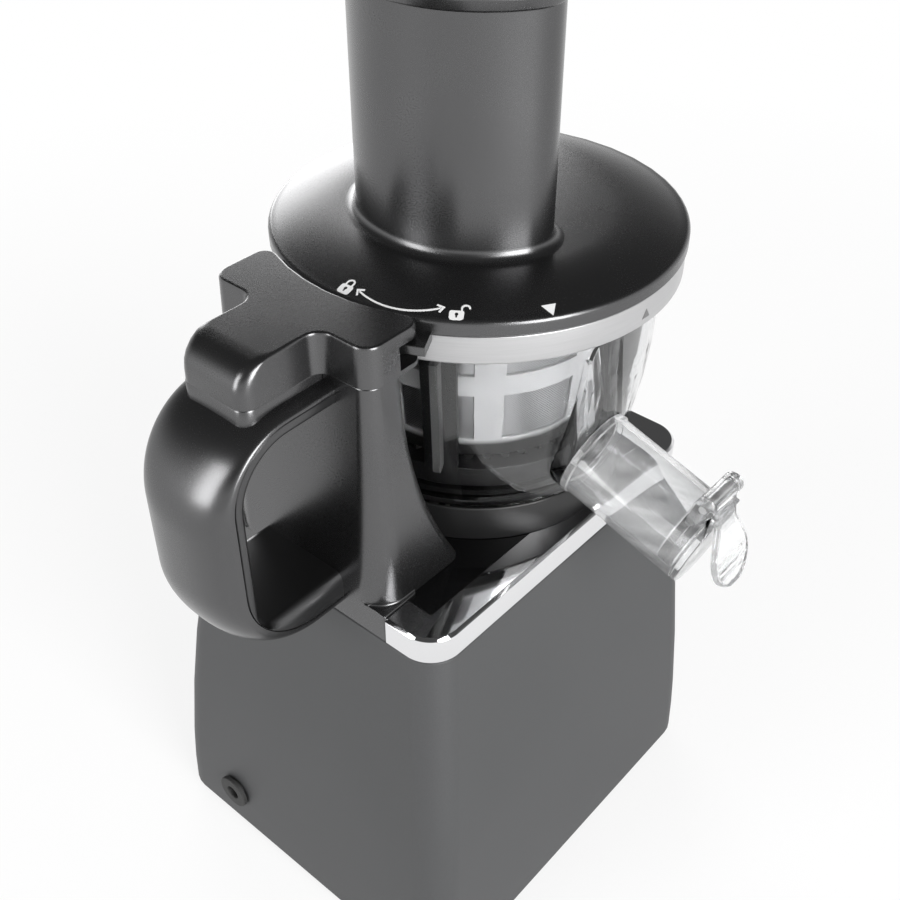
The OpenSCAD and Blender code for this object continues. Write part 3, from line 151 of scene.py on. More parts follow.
class Finish:
    """A new material and the calls that fill its tree."""

    def __init__(self, name):
        self.material = bpy.data.materials.new(name)
        self.material.use_nodes = True
        self.begin(self.material.node_tree, "ShaderNodeOutputMaterial")

    def begin(self, tree, output):
        """Empties a tree and adds its output."""
        self.tree = tree
        self.tree.nodes.clear()
        self.output = self.tree.nodes.new(output)

    @classmethod
    def on(cls, tree, output):
        """The same calls on a tree that is already there, such as the world's."""
        made = cls.__new__(cls)
        made.material = None
        made.begin(tree, output)
        return made

    def node(self, kind, settings=None, inputs=None, out=0):
        """Adds a node: its settings, then the values or links of its sockets. Returns one output."""
        made = self.tree.nodes.new(kind)
        for key, value in (settings or {}).items():
            setattr(made, key, value)
        for key, value in (inputs or {}).items():
            socket = made.inputs[key]
            if isinstance(value, Sock):
                self.tree.links.new(value.link, socket)
            else:
                socket.default_value = value
        return Sock(self, made.outputs[out])

    def place(self, out="Object"):
        """Where a point of the surface is, in metres."""
        return self.node("ShaderNodeTexCoord", out=out)

    def split(self, vector):
        """The three parts of a vector."""
        made = self.node("ShaderNodeSeparateXYZ", {}, {0: vector})
        return [Sock(self, socket) for socket in made.link.node.outputs]

    def stretch(self, vector, scale):
        """The vector with its parts multiplied by the scale."""
        return self.node("ShaderNodeMapping", {"vector_type": "POINT"}, {"Vector": vector, "Scale": scale})

    def noise(self, scale, detail=3.0, rough=0.55, vector=None):
        """Noise value round 0.5 over Object coordinates, or over the given vector."""
        where = vector or self.place()
        return self.node("ShaderNodeTexNoise", {"noise_dimensions": "3D"},
                         {"Vector": where, "Scale": scale, "Detail": detail, "Roughness": rough})

    def brushing(self, along, across):
        """Noise drawn out into level lines: its scale along them, and up the piece across them."""
        stretched = self.stretch(self.place(), (along, along, across))
        return self.noise(1.0, rough=0.6, vector=stretched)

    def mix(self, share, first, second):
        """Colour between first and second at the given share."""
        return self.node("ShaderNodeMix", {"data_type": "RGBA"}, {0: share, 6: first, 7: second}, out=2)

    def bump(self, height, strength, distance):
        """Normal that leans with the slope of the height."""
        return self.node("ShaderNodeBump", {}, {"Height": height, "Strength": strength, "Distance": distance})

    def shader(self, **inputs):
        """Principled shader. Names use _ for spaces."""
        return self.node("ShaderNodeBsdfPrincipled", {},
                         {key.replace("_", " "): value for key, value in inputs.items()})

    def blend(self, share, first, second):
        """Shader between first and second at the given share."""
        return self.node("ShaderNodeMixShader", {}, {0: share, 1: first, 2: second})

    def close(self, surface):
        """Links the surface to the output and returns the material."""
        self.tree.links.new(surface.link, self.output.inputs["Surface"])
        return self.material


def rgba(colour, scale=1.0):
    """A colour with each part multiplied by the scale, and opaque."""
    return (colour[0] * scale, colour[1] * scale, colour[2] * scale, 1.0)


def grey(tone, blue=None):
    """A neutral tone, or one with a blue part of its own."""
    return (tone, tone, tone if blue is None else blue, 1.0)


# Finishes

# Scale of the finest grain, the radius of the strainer's mesh, and the height below which its frame is painted
# dark as shade
GRAIN_SCALE = 2600.0
MESH_R = 52.0 * MM
PAINTED_SHADE_LEVEL = 232.0 * MM


def satin_plastic(name, colour, grain, rough):
    """Moulded satin plastic: clouds from a darker to a paler shade, and a fine grain that dents it."""
    f = Finish(name)
    cloud = f.noise(24.0, detail=2.0)
    fine = f.noise(GRAIN_SCALE, detail=2.0, rough=0.6)
    return f.close(f.shader(
        Base_Color=f.mix(cloud, rgba(colour, 0.9), rgba(colour, 1.12)),
        Roughness=rough - 0.05 + 0.1 * cloud + 0.05 * fine, Specular_IOR_Level=0.5,
        Normal=f.bump(fine, strength=0.06 * grain, distance=0.2 * MM)))


def satin_lacquer(name, colour, rough):
    """Dark satin lacquer with metal flake, which mirrors the dark overhead and the pale floor in soft shapes.

    Its shade is the mean of a cloud and the flake.
    """
    f = Finish(name)
    cloud = f.noise(18.0, detail=2.0)
    flake = f.noise(GRAIN_SCALE, detail=2.0, rough=0.6)
    shade = (0.5 * cloud + 0.5 * flake).clamp()
    return f.close(f.shader(
        Base_Color=f.mix(shade, rgba(colour, 0.85), rgba(colour, 1.15)), Metallic=0.95,
        Roughness=rough - 0.04 + 0.06 * cloud + 0.04 * flake,
        Normal=f.bump(flake, strength=0.03, distance=0.2 * MM)))


def housing_paint():
    """Textured paint of the housing: its shade and its dents follow a fine grain, with a faint cloud."""
    f = Finish("housing_paint")
    colour = colours().housing
    grain = f.noise(1500.0, rough=0.65)
    cloud = f.noise(9.0, detail=2.0)
    shade = (grain * 0.7 + cloud * 0.3).clamp()
    return f.close(f.shader(
        Base_Color=f.mix(shade, rgba(colour, 0.72), rgba(colour, 1.3)), Metallic=0.35,
        Roughness=0.48 + 0.12 * grain, Normal=f.bump(grain, strength=0.12, distance=0.4 * MM)))


def chrome():
    """Mirror plating of the trim, with very faint polishing marks."""
    f = Finish("trim_chrome")
    marks = f.noise(14.0, detail=4.0, rough=0.6)
    return f.close(f.shader(
        Base_Color=grey(0.78, blue=0.79), Metallic=1.0, Roughness=0.05 + 0.05 * marks,
        Normal=f.bump(marks, strength=0.02, distance=1.0 * MM)))


def gloss_black():
    """Polished black deck plate with a hint of dust in the reflection."""
    f = Finish("deck_gloss")
    dust = f.noise(60.0, detail=4.0)
    return f.close(f.shader(
        Base_Color=grey(0.004, blue=0.0042), Roughness=0.05 + 0.05 * dust, Specular_IOR_Level=0.35))


def silver_paint():
    """Satin silver lacquer of the rim, with fine level lines in its shade and dents."""
    f = Finish("rim_silver")
    colour = colours().silver
    lines = f.brushing(along=40.0, across=2600.0)
    return f.close(f.shader(
        Base_Color=f.mix(lines, rgba(colour, 0.88), rgba(colour, 1.14)), Metallic=0.75,
        Roughness=0.3 + 0.1 * lines, Normal=f.bump(lines, strength=0.05, distance=0.2 * MM)))


def brushed_steel(name, tone, rough):
    """Turned or drawn steel, with fine level lines in its shade and dents."""
    f = Finish(name)
    lines = f.brushing(along=60.0, across=3000.0)
    return f.close(f.shader(
        Base_Color=f.mix(lines, grey(tone * 0.85, blue=tone * 0.86), grey(tone * 1.1)), Metallic=1.0,
        Roughness=rough - 0.05 + 0.12 * lines, Normal=f.bump(lines, strength=0.08, distance=0.2 * MM)))


def clear_plastic(name, milk, bands):
    """Clear moulded plastic: faint waviness, and painted shade that darkens the walls where they are seen edge
    on.

    The milk is the pale share of one surface. The bands vary it along the spout's leaning axis.
    """
    f = Finish(name)
    wave = f.noise(45.0, detail=2.0, rough=0.5)
    ripple = f.bump(wave, strength=0.03, distance=0.6 * MM)
    edge = f.node("ShaderNodeLayerWeight", {}, {"Blend": 0.35}, out="Facing")
    # the plastic's own faint tint, with painted shade that darkens it towards grey where the wall is seen edge
    # on
    tint_and_edge_shade = f.mix(edge ** 3.0, (0.975, 0.98, 0.985, 1.0), (0.6, 0.61, 0.62, 1.0))
    glass = f.shader(
        Base_Color=tint_and_edge_shade, Roughness=0.02 + 0.03 * wave, IOR=1.4, Transmission_Weight=1.0, Normal=ripple)
    pale = f.shader(Base_Color=(0.95, 0.955, 0.96, 1.0), Roughness=0.2 + 0.1 * wave, Normal=ripple)
    along = f.node("ShaderNodeMapping", {}, {"Vector": f.place(), "Rotation": (0.0, -SPOUT_LEAN, 0.0)})
    band = f.noise(1.0, detail=2.0, rough=0.6, vector=f.stretch(along, (6.0, 170.0, 170.0)))
    share = (milk + (band - 0.5) * bands).clamp()
    return f.close(f.blend(share, glass, pale))


def frosted_frame_with_painted_shade():
    """Pale plastic of the strainer's frame, with painted shade that turns it dark within a few millimetres
    below a height.
    """
    f = Finish("frosted_frame_with_painted_shade")
    cloud = f.noise(40.0)
    height = f.split(f.place())[2]
    # painted shade: the frame's colour goes near black below the height, where the lower bowl lies in shade
    low = ((PAINTED_SHADE_LEVEL - height) * 400.0).clamp()
    pale = f.mix(cloud, grey(0.5, blue=0.505), grey(0.62, blue=0.625))
    return f.close(f.shader(Base_Color=f.mix(low, pale, grey(0.012)), Roughness=0.35 + 0.1 * cloud))


def rubber(name, tone):
    """Soft rubber with a dull bloom that pales and roughens it."""
    f = Finish(name)
    bloom = f.noise(70.0, detail=4.0)
    return f.close(f.shader(
        Base_Color=f.mix(bloom, grey(tone * 0.85), grey(tone * 1.2)), Roughness=0.6 + 0.2 * bloom,
        Normal=f.bump(bloom, strength=0.1, distance=0.4 * MM)))


def woven_mesh():
    """Thin steel sheet with rows of fine holes, laid out round the drive axis.

    There is metal where the product of a cosine round the axis and a cosine up it stays under a limit.
    """
    f = Finish("strainer_mesh")
    pitch = sizes().mesh_pitch
    x, y, z = f.split(f.place())
    turn = f.node("ShaderNodeMath", {"operation": "ARCTAN2"}, {0: y, 1: x})
    around = (turn * (MESH_R * TAU / pitch)).wave()
    up = (z * (TAU / pitch)).wave()
    return f.close(f.shader(
        Base_Color=grey(0.55, blue=0.56), Metallic=1.0, Roughness=0.3 + 0.1 * f.noise(300.0),
        Alpha=(around * up) < 0.28))


def plain_plastic(name, colour, rough):
    """Plain moulded plastic with clouds in its shade."""
    f = Finish(name)
    cloud = f.noise(40.0)
    return f.close(f.shader(
        Base_Color=f.mix(cloud, rgba(colour, 0.9), rgba(colour, 1.1)), Roughness=rough + 0.1 * cloud))


def finish_table():
    """One material for each of the record's slots, and those of the liner and the printed marks."""
    dark = colours().dark_satin
    return {
        "housing": housing_paint(),
        "dark_satin": satin_lacquer("dark_satin", dark, rough=0.26),
        "black_gloss": gloss_black(),
        "black_plastic": satin_plastic("black_plastic", (0.006, 0.006, 0.0062), grain=0.8, rough=0.42),
        "trim_chrome": chrome(),
        "rim_silver": silver_paint(),
        "clear": clear_plastic("clear_bowl", milk=0.0, bands=0.0),
        "clear_spout": clear_plastic("clear_spout", milk=0.12, bands=0.4),
        "frosted": frosted_frame_with_painted_shade(),
        "mesh": woven_mesh(),
        "steel": brushed_steel("steel", tone=0.6, rough=0.3),
        "screw_grey": satin_plastic("screw_grey", (0.06, 0.06, 0.062), grain=0.4, rough=0.35),
        "white_plastic": plain_plastic("white_plastic", (0.7, 0.7, 0.68), rough=0.4),
        "soft_black": rubber("soft_black", tone=0.02),
        "soft_grey": rubber("soft_grey", tone=0.1),
        "cast_grey": brushed_steel("cast_grey", tone=0.45, rough=0.5),
        "motor_black": plain_plastic("motor_black", (0.05, 0.05, 0.05), rough=0.5),
        "board_green": plain_plastic("board_green", (0.03, 0.16, 0.07), rough=0.35),
        "liner_satin": satin_lacquer("liner_satin", [part * 0.85 for part in dark], rough=0.3),
        "print_white": plain_plastic("print_white", (0.8, 0.8, 0.8), rough=0.5),
        "print_grey": plain_plastic("print_grey", (0.12, 0.12, 0.12), rough=0.5),
    }


FINISHES = {}


def dress_nodes():
    """Gives every CAD node the finish of its slot."""
    FINISHES.update(finish_table())
    for part in frame["record"]["subparts"]:
        node = frame["nodes"][part["node"]]
        node.data.materials.clear()
        node.data.materials.append(FINISHES[part["material_slot"]])


# Shapes: arrays of points, in millimetres until a mesh is made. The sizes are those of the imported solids.

DECK_Z, TRIM_Z, RIM_Z = 190.0, 177.5, 285.6
TRIM = {"hw": 67.5, "front": 66.0, "back": 103.4, "r": 14.0}
LID_R, LID_LOW, LID_TOP, LID_EDGE_Z, LID_EDGE = 80.0, 297.2, 307.4, 303.4, 2.0
DOME_R, DOME_FALL, PLATEAU_R = LID_R - LID_EDGE, 4.0, 51.5
TUBE = {"x": 25.98, "y": 15.0, "corner": 16.5, "back": 46.5, "wall": 3.0, "top": 400.0}
SPOUT_R, SPOUT_L = 17.8, 56.65
SPOUT_AXIS = np.array([-math.cos(SPOUT_LEAN), 0.0, -math.sin(SPOUT_LEAN)])
SPOUT_UP = np.array([-math.sin(SPOUT_LEAN), 0.0, math.cos(SPOUT_LEAN)])
SPOUT_SIDE = np.array([0.0, 1.0, 0.0])
MOUTH = np.array([-118.0, 10.2, 210.37])
HINGE = np.array([-122.13, 10.2, 234.97])
HINGE_FLAT = np.array([(HINGE - MOUTH) @ SPOUT_AXIS, (HINGE - MOUTH) @ SPOUT_UP])
BARREL_HW = 8.0
GRIP_HW = 22.0

# Radius of the smallest ring of a surface that reaches its axis, closed with a face
AXIS_R = 0.01


def lerp(a, b, s):
    return a + (b - a) * s


def arc(cx, cy, r, start, end, n):
    """Points of a circular arc, its angles in degrees."""
    a = np.radians(np.linspace(start, end, n + 1))
    return np.stack([cx + r * np.cos(a), cy + r * np.sin(a)], -1)


def chain(*parts):
    """One polyline from arcs and single points."""
    return np.concatenate([np.atleast_2d(np.asarray(p, float)) for p in parts])


def dense(line, pitch):
    """The closed polyline with points added so that no step is longer than the pitch."""
    line = np.concatenate([line, line[:1]])
    steps = np.maximum(1, np.ceil(np.linalg.norm(np.diff(line, axis=0), axis=1) / pitch).astype(int))
    return np.concatenate([lerp(a, b, np.arange(n)[:, None] / n)
                           for a, b, n in zip(line[:-1], line[1:], steps)])


def box_outline(hw, front, back, r, d, n):
    """Rounded rectangle with its corner centres kept while its edges move in by d."""
    corners = ((1, -front + r, -90), (1, back - r, 0), (-1, back - r, 90), (-1, -front + r, 180))
    return chain(*[arc(side * (hw - r), y, r - d, a, a + 90, n) for side, y, a in corners])


def tube_outline(d=0.0, n=18):
    """Half moon of the feed tube moved in by d: two round corners joined by an arc about the drive axis."""
    cx, cy, r = TUBE["x"], TUBE["y"], TUBE["corner"] - d
    a = math.degrees(math.atan2(cy, cx))
    front = np.linspace(-cx, cx, n)[1:-1]
    return chain(arc(cx, cy, r, -90, a, n), arc(0, 0, TUBE["back"] - d, a, 180 - a, 2 * n)[1:-1],
                 arc(-cx, cy, r, 180 - a, 270, n), np.stack([front, np.full_like(front, cy - r)], -1))


def rounded(points, radius, n=5):
    """A polygon with each corner swapped for a curve that starts and ends the radius away from it.

    The curve is the parabola between those two points with the corner as its control point.
    """
    points = np.asarray(points, float)
    radius = np.broadcast_to(np.asarray(radius, float), (len(points),))
    s = np.linspace(0, 1, n + 1)[:, None]
    out = []
    for k, p in enumerate(points):
        a, b = points[k - 1] - p, points[(k + 1) % len(points)] - p
        la, lb = np.linalg.norm(a), np.linalg.norm(b)
        r = min(radius[k], la / 2, lb / 2)
        start, end = p + a / la * r, p + b / lb * r
        out.append((1 - s) ** 2 * start + 2 * s * (1 - s) * p + s ** 2 * end if r > 0 else p[None])
    return np.concatenate(out)


def polar(r, a, z):
    """Points at a distance from the drive axis, an angle in radians about it and a height."""
    return np.stack(np.broadcast_arrays(r * np.cos(a), r * np.sin(a), z), -1)


def spun(profile, start=0.0, end=360.0, n=128):
    """Rows of a surface of revolution: each (radius, height) of the profile turned about the drive axis."""
    a = np.radians(np.linspace(start, end, n + 1))
    a = a[:-1] if end - start >= 360 else a
    return polar(profile[:, 0, None], a, profile[:, 1, None])


def raised(flat, z):
    """Flat points at a height, or at heights of their own."""
    return np.concatenate([flat, np.broadcast_to(z, flat.shape[:-1])[..., None]], -1)


def lifted(outlines, heights):
    """Rows of a stack of outlines, each at its height."""
    return raised(np.stack(outlines), np.asarray(heights, float)[:, None])


def drawn_in(outline, middle, levels, size):
    """Rows of one outline with its ends drawn in towards the middle: each level is (draw, height)."""
    return lifted([middle + (outline - middle) * (1 - d / size) for d, _ in levels], [z for _, z in levels])


def turned(rows, origin, x_axis, y_axis, z_axis):
    """Rows carried from their own axes into the table's frame."""
    return origin + rows[..., :1] * x_axis + rows[..., 1:2] * y_axis + rows[..., 2:] * z_axis


# Meshes

WELD, SLIVER = 0.002 * MM, 0.001 * MM
SHARP, FLAT = math.radians(35.0), math.radians(1.5)


def grid_faces(m, n, wrap_rows, wrap_cols, first):
    """Quads of an m by n grid of points. Wrapped rows join the last row to the first."""
    i = np.arange(m if wrap_rows else m - 1)[:, None]
    j = np.arange(n if wrap_cols else n - 1)[None]
    i2, j2 = (i + 1) % m, (j + 1) % n
    quads = np.stack(np.broadcast_arrays(i * n + j, i * n + j2, i2 * n + j2, i2 * n + j), -1)
    return (quads.reshape(-1, 4) + first).tolist()


class Shape:
    """Points and faces of one piece, gathered from grids."""

    def __init__(self):
        self.points = []
        self.faces = []
        self.count = 0

    def grid(self, rows, wrap_rows=False, wrap_cols=True):
        """Adds a grid. The open ends of a stack of rings, or of a carried profile, are closed with a face."""
        m, n = rows.shape[:2]
        index = np.arange(m * n).reshape(m, n) + self.count
        self.faces += grid_faces(m, n, wrap_rows, wrap_cols, self.count)
        if wrap_cols and not wrap_rows:
            self.faces += [index[0].tolist(), index[-1].tolist()]
        if wrap_rows and not wrap_cols:
            self.faces += [index[:, 0].tolist(), index[:, -1].tolist()]
        self.points.append(rows.reshape(-1, 3))
        self.count += m * n
        return self

    def make(self, name, finish, body, *nodes, sharp=38.0):
        """Makes the object in metres. It rides on its body and stands for its nodes."""
        mesh = bpy.data.meshes.new(name)
        mesh.from_pydata((np.concatenate(self.points) * MM).tolist(), [], self.faces)
        return settle(name, mesh, finish, body, nodes, math.radians(sharp))


def settle(name, mesh, finish, body, nodes, sharp):
    """Welds a mesh, turns its faces outwards and gives it a finish, a body and the nodes it stands for."""
    shape = bmesh.new()
    shape.from_mesh(mesh)
    bmesh.ops.remove_doubles(shape, verts=shape.verts, dist=WELD)
    bmesh.ops.dissolve_degenerate(shape, edges=shape.edges, dist=SLIVER)
    bmesh.ops.recalc_face_normals(shape, faces=shape.faces)
    shape.to_mesh(mesh)
    shape.free()
    mesh.shade_smooth()
    mesh.set_sharp_from_angle(angle=sharp)
    mesh.materials.append(FINISHES[finish])
    made = bpy.data.objects.new(name, mesh)
    bpy.context.scene.collection.objects.link(made)
    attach(made, body)
    if nodes:
        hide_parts(*nodes)
    return made


def renew_top(shape):
    """Takes out the faces of the level top and closes it again with one whole face."""
    top = max(vert.co.z for vert in shape.verts) - 0.01 * MM
    old = [face for face in shape.faces if all(vert.co.z > top for vert in face.verts)]
    bmesh.ops.delete(shape, geom=old, context="FACES_ONLY")
    loose = [edge for edge in shape.edges if not edge.link_faces]
    bmesh.ops.delete(shape, geom=loose, context="EDGES")
    rim = [edge for edge in shape.edges if edge.is_boundary]
    bmesh.ops.contextual_create(shape, geom=rim)


def refined(node, finish, share, body):
    """Copies a solid, joins its flat triangles into whole faces, and rounds its edges with a bevel."""
    mesh = frame["nodes"][node].data.copy()
    mesh.materials.clear()
    for name in ("custom_normal", "sharp_edge", "sharp_face"):
        if name in mesh.attributes:
            mesh.attributes.remove(mesh.attributes[name])
    shape = bmesh.new()
    shape.from_mesh(mesh)
    bmesh.ops.remove_doubles(shape, verts=shape.verts, dist=WELD)
    if node == "handle_cap":
        renew_top(shape)
    bmesh.ops.dissolve_limit(shape, angle_limit=FLAT, verts=shape.verts, edges=shape.edges)
    shape.to_mesh(mesh)
    shape.free()
    made = settle(node + "_shown", mesh, finish, body, (node,), SHARP)
    if share:
        bevel = made.modifiers.new("edges", "BEVEL")
        bevel.width = share * sizes().edge_round
        bevel.segments = 2
        bevel.limit_method = "ANGLE"
        bevel.angle_limit = SHARP
        bevel.use_clamp_overlap = False
        bevel.harden_normals = False
    even = made.modifiers.new("even", "WEIGHTED_NORMAL")
    even.keep_sharp = True


# Pieces

def dome_z(r):
    """Height of the lid's top: level round the feed tube, then a parabola down to the edge."""
    s = np.maximum(0.0, (r - PLATEAU_R) / (DOME_R - PLATEAU_R))
    return LID_TOP - DOME_FALL * s * s


def make_lid():
    """Lid: rays from the tube's outline out to the edge's circle, then a profile round the edge and back.

    A ray's point is the mix of its point on the tube and its point on the circle, at the dome's height.
    """
    ray_y, seat_off, round_off = 20.0, 0.8, 0.5
    skirt_r, skirt_z, skirt_off, skirt_rise = 67.8, 288.5, 0.6, 0.4
    groove_r, groove_low, groove_top = 66.3, 291.5, 294.5
    inside_r, shoulder_z, roof_z = 64.8, 300.2, 304.4
    inner = tube_outline(TUBE["wall"])
    turn = np.unwrap(np.arctan2(inner[:, 1] - ray_y, inner[:, 0]))
    ring = np.stack([np.cos(turn), np.sin(turn)], -1)
    profile = chain(
        arc(DOME_R, LID_EDGE_Z - LID_EDGE, LID_EDGE, 80, 0, 9), (LID_R, LID_LOW + round_off),
        (LID_R - round_off, LID_LOW), (skirt_r + seat_off, LID_LOW), (skirt_r, LID_LOW - round_off),
        (skirt_r, groove_top), (groove_r, groove_top), (groove_r, groove_low), (skirt_r, groove_low),
        (skirt_r, skirt_z + skirt_rise), (skirt_r - skirt_off, skirt_z), (inside_r, skirt_z),
        (inside_r, shoulder_z), (PLATEAU_R, roof_z))
    top = [lerp(inner, ring * DOME_R, s) for s in np.linspace(0, 1, 26)]
    rows = [raised(flat, dome_z(np.linalg.norm(flat, axis=1))) for flat in top]
    rows += [raised(ring * r, z) for r, z in profile]
    rows += [raised(lerp(inner, ring * PLATEAU_R, s), roof_z) for s in (0.5, 0.0)]
    shape = Shape().grid(np.stack(rows), wrap_rows=True)

    bush_in, bush_out, bush_low, bush_top, bush_corner = 3.55, 6.5, 290.4, 305.9, 0.3
    bush = [(bush_in, bush_low), (bush_out, bush_low), (bush_out, bush_top), (bush_in, bush_top)]
    shape.grid(spun(rounded(bush, bush_corner, 2), n=48), wrap_rows=True)

    tab_in, tab_out, tab_low, tab_top, tab_corner = 78.5, 89.5, 294.4, 298.3, 0.7
    tab_start, tab_end, end_shares = 99.0, 118.5, (0.6, 0.8, 0.95)
    tab = [(tab_in, tab_low), (tab_out, tab_low), (tab_out, tab_top), (tab_in, tab_top)]
    tab_rows = spun(rounded(tab, (0, tab_corner, tab_corner, 0), 4), tab_start, tab_end, 40)
    tab_rows[:, :3] = lerp(tab_rows[:, 3:4], tab_rows[:, :3], np.array(end_shares)[None, :, None])
    shape.grid(tab_rows, wrap_rows=True, wrap_cols=False)
    shape.make("lid_shown", "dark_satin", "lid", "lid")


def make_feed_tube():
    """Feed tube: the half moon outline lifted along a profile with a fillet at its foot and a rolled lip.

    The profile's first number draws the outline in, or pushes it out where it is negative.
    """
    foot, roof_z, inside_z, levels = 4.0, 304.6, 380.0, (330.0, 360.0)
    lip, lip_r, lip_low, lip_high = 3.0, 0.8, 392.4, 399.0
    hollow_d, hollow_z, hollow_r = 0.2, 394.3, 1.5
    swell_d, swell_z, swell_r = -2.0, 397.2, 1.0
    wall, top = TUBE["wall"], TUBE["top"]
    fillet = [(foot * (math.sin(a) - 1), LID_TOP + foot * (1 - math.cos(a)))
              for a in np.linspace(0, math.pi / 2, 10)]
    profile = chain(
        fillet, [(0, z) for z in levels], (0, lip_low), arc(hollow_d, hollow_z, hollow_r, 260, 200, 3),
        arc(swell_d, swell_z, swell_r, 140, 180, 3), (-lip, lip_high),
        arc(-lip + lip_r, top - lip_r, lip_r, 180, 90, 4), arc(wall - lip_r, top - lip_r, lip_r, 90, 0, 4),
        (wall, inside_z), (wall, roof_z))
    rows = lifted([tube_outline(d) for d in profile[:, 0]], profile[:, 1])
    Shape().grid(rows, wrap_rows=True).make("feed_tube_shown", "dark_satin", "lid", "feed_tube")


def make_pusher():
    """Pusher's cap: the half moon outline with a waist for the fingers and rounded ends.

    The waist is a squared sine over its lower half and a shallow parabola over its upper half.
    """
    low, foot_in, foot_off, foot_rise = 403.9, 8.0, 0.6, 0.5
    waist, waist_low, waist_half, waist_gain = 5.0, 405.0, 8.0, 2.2
    top, top_in, top_off, top_drop, top_r = 425.9, 12.0, 2.8, 0.2, 1.4
    s = np.linspace(0.1, 2.0, 12)
    draw = np.where(s < 1, waist * np.sin(math.pi / 2 * s) ** 2, waist - waist_gain * (s - 1) ** 2)
    profile = chain((foot_in, low), (foot_off, low), (0, low + foot_rise), (0, waist_low),
                    np.stack([draw, waist_low + waist_half * s], -1),
                    arc(top_off + top_r, top - top_drop - top_r, top_r, 180, 90, 5), (top_in, top))
    rows = lifted([tube_outline(d) for d in profile[:, 0]], profile[:, 1])
    Shape().grid(rows).make("pusher_cap_shown", "dark_satin", "pusher", "pusher_cap")


def make_rim():
    """Silver rim: a rounded band turned about the drive axis."""
    inside, seat_r, outside, seat_z, top = 71.4, 75.2, 79.3, 294.2, 296.8
    corner_r = (0.2, 1.2, 0.4, 0.1, 0.1, 0.1)
    band = [(inside, RIM_Z), (outside, RIM_Z), (outside, top), (seat_r, top), (seat_r, seat_z),
            (inside, seat_z)]
    rows = spun(rounded(band, corner_r, 5), n=192)
    Shape().grid(rows, wrap_rows=True).make("bowl_rim_shown", "rim_silver", "base", "bowl_rim")


def make_collar():
    """Collar under the bowl: a ring with a gap for the pulp duct, its ends parallel to the duct.

    At each radius the gap's half angle is the arcsine of its half width over the radius.
    """
    inside, wall_r, outside, ledge_z, top, gap_hw = 52.4, 58.4, 62.4, 203.0, 206.0, 15.2
    corner_r = (0.1, 0.5, 0.8, 0.3, 0.3, 0.3)
    band = rounded([(wall_r, DECK_Z), (outside, DECK_Z), (outside, top), (inside, top), (inside, ledge_z),
                    (wall_r, ledge_z)], corner_r, 4)
    start = np.degrees(np.arcsin(gap_hw / band[:, 0]))[:, None]
    a = np.radians(lerp(start, 360.0 - start, np.linspace(0, 1, 161)[None]))
    rows = polar(band[:, 0, None], a, band[:, 1, None])
    Shape().grid(rows, wrap_rows=True, wrap_cols=False).make(
        "bowl_collar_shown", "black_plastic", "base", "bowl_collar")


def make_trim():
    """Metal trim: a bevelled section carried round the deck, from one side of the column to the other."""
    width, bevel, tongue_x, corner_r = 13.0, 1.3, 43.2, (0.5, 0.25, 0.25, 0.15, 0.1)
    section = rounded([(0, TRIM_Z), (0, DECK_Z - bevel), (bevel, DECK_Z), (width, DECK_Z), (width, TRIM_Z)],
                      corner_r, 4)
    rows = []
    for d, z in section:
        line = box_outline(d=d, n=20, **TRIM)
        half = len(line) // 2
        back = TRIM["back"] - d
        path = chain((-tongue_x, back), line[half:], line[:half], (tongue_x, back))
        rows.append(raised(path, z))
    Shape().grid(np.stack(rows), wrap_rows=True, wrap_cols=False).make(
        "chrome_trim_shown", "trim_chrome", "base", "chrome_trim", sharp=30.0)


# Side view of the grip's lines: furthest back, lowest, highest, and the radii of the lower and upper corners
GRIP_LINES = {
    "part": (147.5, 188.2, 282.0, 32.0, 26.0),
    "outer": (158.0, 180.5, 286.4, 40.0, 39.4),
    "inner": (143.0, 200.0, 276.6, 5.0, 21.5),
}
COLUMN_LEAN, COLUMN_LEAN_Z, COLUMN_TOP_Z = 3.2, 200.0, 289.0


def column_back(z):
    """The column's back face, which leans forward above a height."""
    lean = np.maximum(0.0, (z - COLUMN_LEAN_Z) / (COLUMN_TOP_Z - COLUMN_LEAN_Z))
    return TRIM["back"] - COLUMN_LEAN * lean


def grip_line(name):
    """One line of the grip: lower arm, rounded back, upper arm. Each line has the same number of points."""
    y, low, top, r_low, r_top = GRIP_LINES[name]
    s = np.linspace(0, 1, 15)[:-1, None]
    bottom = arc(y - r_low, low + r_low, r_low, -90, 0, 22)
    crown = arc(y - r_top, top - r_top, r_top, 0, 90, 22)
    start, end = np.array([column_back(low), low]), np.array([column_back(top), top])
    return chain(lerp(start, bottom[0], s), bottom[:-1], lerp(bottom[-1], crown[0], s), crown[:-1],
                 lerp(crown[-1], end, s), end)


def grip_rows(line, section):
    """Rows across the grip: the section gives shares of the half width and of the way to the other line."""
    part, other = grip_line("part"), grip_line(line)
    yz = lerp(part[:, None], other[:, None], section[None, :, 1, None])
    x = np.broadcast_to(GRIP_HW * section[None, :, :1], yz.shape[:2] + (1,))
    return np.concatenate([x, yz], -1)


